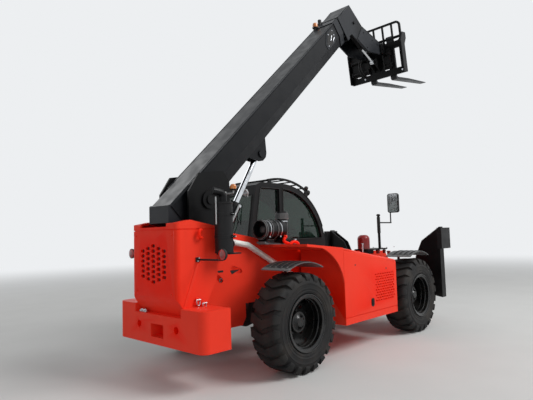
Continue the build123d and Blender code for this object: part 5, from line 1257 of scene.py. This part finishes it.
@dataclass
class Cab:
    """Cab trim: window rubber, work lamps, handles, wipers, and the padded seat."""

    seat: tuple[float, float, float] = (-0.815, 0.705, 1.255)

    def gaskets(self, maker: Maker) -> None:
        """Rubber round every window opening."""
        for name, node, glass, reach, body in (
            ("side", "cab_shell", "side_glass", (0.004, 0.06, 0.004), "chassis"),
            ("rear", "cab_shell", "rear_glass", (0.03, 0.004, 0.02), "chassis"),
            ("front", "cab_shell", "front_glass", (0.03, 0.004, 0.03), "chassis"),
            ("door", "cab_door", "door_glass", (0.004, 0.06, 0.004), "cab_door"),
        ):
            low, high = (Vector(corner) - ORIGIN_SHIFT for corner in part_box(glass))
            low = [c - r for c, r in zip(low, reach)]
            high = [c + r for c, r in zip(high, reach)]
            rubber = maker.shape(f"window_rubber_{name}", GASKET, body)
            rubber.trim(edges_within(maker.nodes[node], low, high), 0.009)
            rubber.done()

    def lamp(self, maker: Maker, name: str, place: Vector, aim: Vector, size: float) -> None:
        """A round work lamp with a housing and a clear lens."""
        housing = maker.shape(f"{name}_housing", PALE if size > 0.05 else GASKET)
        housing.lathe([(0.0, 0.0), (size * 0.5, 0.0), (size * 0.9, size * 0.35), (size, size * 0.8), (size, size),
                       (size * 0.9, size * 1.02), (size * 0.88, size * 0.9), (0.0, size * 0.9)], place, aim, 32)
        housing.tube([place - aim * size * 0.1, place - aim * size * 0.3 - Z * size * 0.5, place - Z * size * 1.4],
                size * 0.2, 10)
        housing.done()
        lens = maker.shape(f"{name}_lens", CLEAR)
        lens.lathe([(size * 0.88, size * 0.92), (size * 0.86, size), (size * 0.5, size * 1.08), (0.0, size * 1.1)],
                place, aim, 32)
        lens.done()

    def cushion(self, maker: Maker, name: str, middle: Vector, right: Vector, up: Vector, size: Point) -> None:
        """A crowned pad with sewn channels and a welt, over the seat's solid.

        Args:
            maker: What pieces are made with.
            name: Name of the pad.
            middle: Its centre.
            right: Direction of its width.
            up: Direction of its length.
            size: Width, length and thickness.
        """
        wide, long, thick = (s / 2 for s in size)
        out = right.cross(up).normalized()
        pad = maker.shape(name, SEAT)
        count = 20

        def crown(u: float, v: float) -> float:
            """Thickness share of the pad, pulled in along its edges and two seams."""
            edge = max(0.0, (1 - abs(u) ** 6) * (1 - abs(v) ** 6)) ** 0.42
            seam = (
                1 - 0.16 * math.exp(-(((abs(u) - 0.62) / 0.05) ** 2))
                - 0.08 * math.exp(-(((abs(v) - 0.35) / 0.04) ** 2))
            )
            return edge * seam

        layers = []
        for side in (1, -1):
            rows = []
            for i in range(count + 1):
                row = []
                for j in range(count + 1):
                    u, v = (-math.cos(math.pi * k / count) for k in (i, j))
                    pull = 1 - 0.03 * (1 - u * u) * abs(v) ** 4 - 0.03 * (1 - v * v) * abs(u) ** 4
                    point = (
                        middle + right * (u * wide * pull) + up * (v * long * pull)
                        + out * (side * thick * crown(u, v))
                    )
                    row.append(pad.work.verts.new(point))
                rows.append(row)
            layers.append(rows)
        for rows in layers:
            for i in range(count):
                for j in range(count):
                    pad.work.faces.new([rows[i][j], rows[i + 1][j], rows[i + 1][j + 1], rows[i][j + 1]])
        bmesh.ops.remove_doubles(pad.work, verts=pad.work.verts, dist=1e-4)
        pad.done(subdivide=1)
        welt = maker.shape(f"{name}_welt", GASKET)
        loop = [middle + right * a + up * b for a, b in rounded(size[0] * 0.965, size[1] * 0.965, 0.05)]
        welt.tube(loop + loop[:2], 0.006, 8, straight=True)
        welt.done()

    def build(self, maker: Maker) -> None:
        """Makes the cab's pieces."""
        self.gaskets(maker)
        self.cushion(maker, "seat_cushion", Vector((-0.815, 0.705, 1.262)), X, Y, (0.56, 0.54, 0.165))
        lean = Vector((-0.13, 0, 1)).normalized()
        self.cushion(maker, "seat_back_pad", Vector((-1.015, 0.705, 1.54)), Y, lean, (0.5, 0.66, 0.17))
        self.lamp(maker, "rear_work_lamp", Vector((-1.40, 0.36, 2.27)), Vector((-0.95, 0.0, -0.3)), 0.055)
        self.lamp(maker, "front_work_lamp", Vector((0.0, 0.36, 2.33)), Vector((0.95, 0.0, -0.3)), 0.05)
        self.lamp(maker, "guard_lamp", Vector((-0.05, 0.34, 2.40)), Vector((0.95, 0.0, -0.3)), 0.04)
        wiper = maker.shape("rear_wiper", GASKET)
        wiper.tube([(-1.395, 0.72, 1.63), (-1.40, 0.70, 1.70), (-1.365, 0.62, 1.98)], 0.006, 8)
        wiper.tube([(-1.386, 0.60, 1.80), (-1.352, 0.64, 2.12)], 0.008, 8, straight=True)
        wiper.done()
        handle = maker.shape("door_handle", GASKET, "cab_door")
        handle.tube([(-0.96, 1.135, 1.30), (-0.96, 1.137, 1.30), (-0.96, 1.137, 1.36), (-0.96, 1.137, 1.42),
                (-0.96, 1.135, 1.42)], 0.009, 10)
        handle.done()


@dataclass
class Boom:
    """Wear pads, bolts and plates of the telescopic boom and its bent head."""

    angle: float = 43.7
    pivot: tuple[float, float] = (-2.675, 2.06)
    front: float = 4.4
    collar: float = 0.09

    def at(self, u: float, v: float, y: float) -> Vector:
        """Point at a distance along and above the boom's axis, in metres."""
        turn = math.radians(self.angle)
        px, pz = self.pivot
        return Vector((px + u * math.cos(turn) - v * math.sin(turn), y, pz + u * math.sin(turn) + v * math.cos(turn)))

    def build(self, maker: Maker) -> None:
        """Makes the pieces on both boom sections and the head."""
        along = (self.at(1, 0, 0) - self.at(0, 0, 0)).normalized()
        above = (self.at(0, 1, 0) - self.at(0, 0, 0)).normalized()
        outer = maker.shape("outer_boom_collar", BLACK, "boom")
        front, wall = self.front + self.collar / 2, 0.014
        for sign in SIDES.values():
            outer.block(self.at(front, 0.0785, sign * 0.217), (self.collar, 0.445, wall), along, above)
            outer.block(self.at(2.15, 0.281, sign * 0.214), (4.4, 0.012, 0.012), along, above)
        outer.block(self.at(front, 0.287 + wall / 2, 0), (self.collar, 0.448, wall), along, Y)
        outer.block(self.at(front, -0.13 - wall, 0), (self.collar, 0.448, wall), along, Y)
        for sign in SIDES.values():
            outer.prism(
                [(3.74, 0.02), (4.02, 0.02), (4.12, 0.10), (4.12, 0.25), (3.90, 0.25), (3.74, 0.12)],
                self.at(0, 0, sign * 0.211), along, above, -sign * 0.005
            )
        outer.soften(0.002)
        outer.done()
        bolts = maker.shape("wear_pad_bolts", ZINC, "boom")
        for sign in SIDES.values():
            places = [self.at(u, v, sign * 0.217) for u,
                    v in ((3.80, 0.06), (3.98, 0.06), (4.07, 0.13), (4.07, 0.21), (3.92, 0.21))]
            bolts.bolts(places, Y * sign, 0.008)
            for start, end in (((3.90, 0.10), (3.99, 0.16)), ((3.96, 0.07), (4.04, 0.10))):
                bolts.tube([self.at(*start, sign * 0.224), self.at(*end, sign * 0.224)], 0.007, 10, straight=True)
        bolts.done()
        # Dark patches on the boom's sides: painted shade for the inside of the service openings.
        opening = maker.shape("boom_service_openings", OPENING_SHADE, "boom")
        for sign in SIDES.values():
            opening.prism(
                [(3.78, 0.045), (4.0, 0.045), (4.085, 0.115), (4.085, 0.225), (3.92, 0.225), (3.78, 0.11)],
                self.at(0, 0, sign * 0.2165), along, above, -sign * 0.002
            )
        opening.done()
        lamp_foot = self.at(4.223, 0.287, 0.17)
        stand = maker.shape("boom_lamp_stands", GASKET, "boom")
        stand.lathe([(0.0, -0.03), (0.03, -0.03), (0.03, 0.02), (0.048, 0.024), (0.05, 0.04), (0.0, 0.04)],
                lamp_foot, Z, 32)
        second = self.at(4.372, 0.287, 0.15)
        stand.lathe([(0.0, -0.03), (0.03, -0.03), (0.032, 0.09), (0.028, 0.1), (0.0, 0.102)], second, Z, 28)
        stand.done()
        dome = maker.shape("boom_beacon_dome", AMBER, "boom")
        dome.lathe([(0.044, 0.038), (0.046, 0.06), (0.045, 0.09), (0.038, 0.11), (0.022, 0.12), (0.0, 0.122)],
                lamp_foot, Z, 32)
        dome.done()
        head = maker.shape("head_doubler_plate", BLACK, "inner_boom")
        plate = [(1.089, 5.373), (1.764, 5.249), (1.846, 5.198), (1.696, 5.035), (1.276, 4.99), (0.941, 5.124)]
        for sign in SIDES.values():
            head.prism(plate, (0, sign * 0.204, 0), X, Z, -sign * 0.008)
        head.soften(0.003)
        head.done()
        pins = maker.shape("head_pins", BLACK_BODY, "inner_boom")
        for sign in SIDES.values():
            side = Y * sign
            for (x, z), r in (((1.775, 5.17), 0.036), ((0.835, 5.39), 0.026)):
                pins.lathe([(r, -0.002), (r, 0.012), (r * 0.85, 0.016), (0.0, 0.016)], (x, sign * 0.21, z), side, 28)
            pins.bolts([(x, sign * 0.212, z) for x, z in ((1.258, 5.05), (1.45, 5.24), (1.62, 5.2), (1.15, 5.3))],
                    side, 0.009)
        pins.done()
        keeper = maker.shape("pin_keeper_plates", BLACK, "boom")
        for sign in SIDES.values():
            keeper.prism(rounded(0.11, 0.04, 0.008), self.at(0, 0, sign * 0.268), along, above, -sign * 0.008)
        keeper.done()


@dataclass
class ForkCarriage:
    """Side-shift cylinder, hoses and hooks that fill the back of the fork carriage."""

    pin: tuple[float, float] = (1.775, 5.17)
    angle: float = 9.0

    def at(self, ahead: float, above: float, y: float) -> Vector:
        """Point ahead of and above the carriage pin, in the carriage's leaning frame."""
        turn = math.radians(self.angle)
        px, pz = self.pin
        return Vector((px + ahead * math.cos(turn) - above * math.sin(turn), y,
                pz + ahead * math.sin(turn) + above * math.cos(turn)))

    def build(self, maker: Maker) -> None:
        """Makes the pieces on the carriage."""
        along = (self.at(1, 0, 0) - self.at(0, 0, 0)).normalized()
        above = (self.at(0, 1, 0) - self.at(0, 0, 0)).normalized()
        ram = maker.shape("side_shift_ram", BLACK_BODY, "carriage")
        for height in (-0.10, -0.33):
            ram.tube([self.at(0.118, height, 0.56), self.at(0.118, height, 0.16)], 0.034, 20, straight=True)
            ram.tube([self.at(0.118, height, -0.17), self.at(0.118, height, -0.34)], 0.028, 20, straight=True)
        for y in (0.545, 0.36, 0.18, -0.19, -0.33):
            for height in (-0.10, -0.33):
                ram.block(self.at(0.118, height, y), (0.07, 0.085, 0.022), along, above)
        ram.block(self.at(0.138, -0.2, 0.36), (0.012, 0.40, 0.40), along, above)
        ram.block(self.at(0.138, -0.2, -0.235), (0.012, 0.40, 0.16), along, above)
        ram.soften(0.003)
        ram.done()
        hoses = maker.shape("carriage_hoses", HOSE, "carriage")
        for shift in (0.0, 0.045):
            hoses.tube([self.at(0.14, -0.02, 0.26 + shift), self.at(0.08, -0.05, 0.28 + shift),
                    self.at(0.07, -0.2, 0.33 + shift),
                        self.at(0.08, -0.36, 0.30 + shift), self.at(0.14, -0.42, 0.26 + shift)], 0.013, 10)
        hoses.done()
        rods = maker.shape("side_shift_rods", CHROME, "carriage")
        rods.tube([self.at(0.118, -0.10, 0.17), self.at(0.118, -0.10, 0.14)], 0.018, 16, straight=True)
        rods.bolts([self.at(0.148, -0.47, y) for y in (-0.52, 0.3)], -along, 0.01)
        rods.done()


@dataclass
class LiftCylinder:
    """Sleeve, oil pipe, gland ring and fittings of the lift cylinder."""

    eye: tuple[float, float] = (-1.535, 2.77)
    base: tuple[float, float] = (-2.583, 1.066)

    def build(self, maker: Maker) -> None:
        """Makes the pieces on the barrel."""
        start, end = Vector((self.base[0], 0, self.base[1])), Vector((self.eye[0], 0, self.eye[1]))
        along = (end - start).normalized()
        across = Vector((-along.z, 0, along.x))
        sleeve = maker.shape("lift_barrel_sleeve", BLACK, "lift_barrel")
        wall = [(0.081, 0.2), (0.085, 0.205), (0.085, 1.10), (0.086, 1.105), (0.086, 1.14), (0.080, 1.152),
                (0.043, 1.152),
                (0.043, 1.14), (0.081, 1.135)]
        sleeve.lathe(wall, start, along, 48, closed=True)
        sleeve.done()
        pipe = maker.shape("lift_oil_pipe", PALE, "lift_barrel")
        foot, top = start + along * 0.30, start + along * 1.11
        side = Vector((0, -0.132, 0)) + across * 0.03
        pipe.tube([foot + Y * -0.09, foot + side, foot + side + along * 0.06, top + side - along * 0.08, top + side,
                top + Y * -0.09], 0.015, 12)
        pipe.done()
        rings = maker.shape("lift_gland", ZINC, "lift_barrel")
        rings.lathe([(0.042, -0.004), (0.06, -0.002), (0.06, 0.006), (0.042, 0.008)], start + along * 1.153, along,
                40, closed=True)
        for distance in (0.30, 1.11):
            rings.block(start + along * distance + Y * -0.106, (0.036, 0.036, 0.03), along, across)
        rings.done()


ASSEMBLIES = (Wheels, RearCover, RearLamps, Exhaust, AirCleaner, EngineCover, FrameFittings, Mirror, Cab, Boom,
    ForkCarriage, LiftCylinder)


@dataclass
class Studio:
    """Floor, light and the camera that stands where the photographer stood."""

    focal_pixels: float = 467.7375
    sensor: float = 36.0
    place: tuple[float, float, float] = (-6.24515555, -4.63617491, 1.62416292)
    yaw: float = 0.759727919
    pitch: float = 0.0741001764
    roll: float = -0.0287633843
    floor_radius: float = 60.0

    def camera(self) -> None:
        """Makes the camera from its heading, pitch and roll."""
        cy, sy, cp, sp = math.cos(self.yaw), math.sin(self.yaw), math.cos(self.pitch), math.sin(self.pitch)
        forward = Vector((cp * cy, cp * sy, sp))
        level = Vector((sy, -cy, 0))
        above = level.cross(forward)
        right = math.cos(self.roll) * level + math.sin(self.roll) * above
        up = -math.sin(self.roll) * level + math.cos(self.roll) * above
        data = bpy.data.cameras.new("photo_camera")
        data.sensor_width = self.sensor
        data.lens = self.focal_pixels / IMAGE_WIDTH * self.sensor
        data.clip_end = 400
        camera = loose_object("photo_camera", data)
        turn = Matrix((right, up, -forward)).transposed().to_4x4()
        camera.matrix_world = Matrix.Translation(Vector(self.place) + ORIGIN_SHIFT) @ turn
        bpy.context.scene.camera = camera

    def backdrop(self, tree: bpy.types.NodeTree, lit: bpy.types.NodeSocket) -> bpy.types.NodeSocket:
        """Swaps a shader for plain pale light, for what looks at it straight, off metal or through glass."""
        pale = add_node(tree, "ShaderNodeEmission", None, {"Color": linear("#EDEFF1"), "Strength": 1.0})
        path = add_node(tree, "ShaderNodeLightPath")
        seen = arithmetic(tree, "MAXIMUM", path.outputs["Is Camera Ray"], path.outputs["Is Transmission Ray"])
        seen = arithmetic(tree, "MAXIMUM", seen, path.outputs["Is Glossy Ray"])
        return add_node(tree, "ShaderNodeMixShader", None, {0: seen, 1: lit, 2: pale.outputs[0]}).outputs[0]

    def floor(self) -> None:
        """Makes the pale floor, a wide disc that fades into the background far out."""
        mesh = bpy.data.meshes.new("floor")
        work = bmesh.new()
        bmesh.ops.create_circle(work, cap_ends=True, segments=96, radius=self.floor_radius)
        work.to_mesh(mesh)
        work.free()
        floor = loose_object("floor", mesh)
        material = bpy.data.materials.new("pale_floor")
        material.use_nodes = True
        tree = material.node_tree
        shader = tree.nodes["Principled BSDF"]
        shader.inputs["Roughness"].default_value = 0.9
        place = add_node(tree, "ShaderNodeTexCoord").outputs["Object"]
        grain = add_node(tree, "ShaderNodeTexNoise", None, {"Vector": place, "Scale": per_metre(900), "Detail": 6.0})
        colour = mix_colour(tree, grain.outputs[0], linear("#CFCFCD"), linear("#D9D9D7"))
        tree.links.new(colour, shader.inputs["Base Color"])
        away = add_node(tree, "ShaderNodeVectorMath", {"operation": "LENGTH"}, {0: place}).outputs["Value"]
        far = remap(tree, away, 7.0, 26.0)
        plain = self.backdrop(tree, shader.outputs[0])
        both = add_node(tree, "ShaderNodeMixShader", None, {0: far, 1: shader.outputs[0], 2: plain})
        tree.links.new(both.outputs[0], tree.nodes["Material Output"].inputs[0])
        mesh.materials.append(material)

    def area(self, name: str, place: Point, aim: Point, size: float, power: float) -> None:
        """Adds one soft area lamp.

        Args:
            name: Name of the lamp.
            place: Where it hangs, in metres.
            aim: Point it looks at.
            size: Side of its square.
            power: Watts.
        """
        data = bpy.data.lights.new(name, "AREA")
        data.shape = "SQUARE"
        data.size = size
        data.energy = power
        lamp = loose_object(name, data)
        lamp.location = place
        lamp.rotation_euler = (Vector(aim) - Vector(place)).to_track_quat("-Z", "Y").to_euler()

    def light(self) -> None:
        """Soft key from high on the right, a fill from behind the camera and a pale world."""
        self.area("key", (3.5, -11.0, 12.5), (-0.5, 0.0, 1.6), 7.0, 1650)
        self.area("fill", (-12.0, -6.0, 5.5), (-1.0, 0.0, 1.8), 6.0, 90)
        self.area("rim", (-2.0, 11.0, 9.0), (0.0, 0.0, 2.5), 6.0, 200)
        world = bpy.data.worlds.new("pale_world")
        bpy.context.scene.world = world
        world.use_nodes = True
        tree = world.node_tree
        soft = tree.nodes["Background"]
        soft.inputs["Color"].default_value = linear("#F4F6F8")
        soft.inputs["Strength"].default_value = 0.38
        tree.links.new(self.backdrop(tree, soft.outputs[0]), tree.nodes["World Output"].inputs[0])
        bpy.context.scene.view_settings.view_transform = "Standard"

    def build(self) -> None:
        """Makes the camera, the floor and the light."""
        self.camera()
        self.floor()
        self.light()


@dataclass
class CarriedNodes:
    """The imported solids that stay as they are, each with its finish."""

    finishes: dict[Finish, tuple[str, ...]] = field(default_factory=lambda: dict(NODE_FINISH))

    def dress(self, nodes: dict[str, bpy.types.Object]) -> None:
        """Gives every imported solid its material.

        Args:
            nodes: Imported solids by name.
        """
        for finish, names in self.finishes.items():
            material = finish.material()
            for name in names:
                mesh = nodes[name].data
                mesh.materials.clear()
                mesh.materials.append(material)
                log.info("%s is finished in %s", name, finish.name)


def main() -> None:
    """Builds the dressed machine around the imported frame."""
    logging.basicConfig(level=logging.INFO, format="%(message)s")
    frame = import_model()
    Studio().build()
    CarriedNodes().dress(frame["nodes"])
    maker = Maker(frame["nodes"], Trees())
    for assembly in ASSEMBLIES:
        assembly().build(maker)


if __name__ == "__main__":
    main()
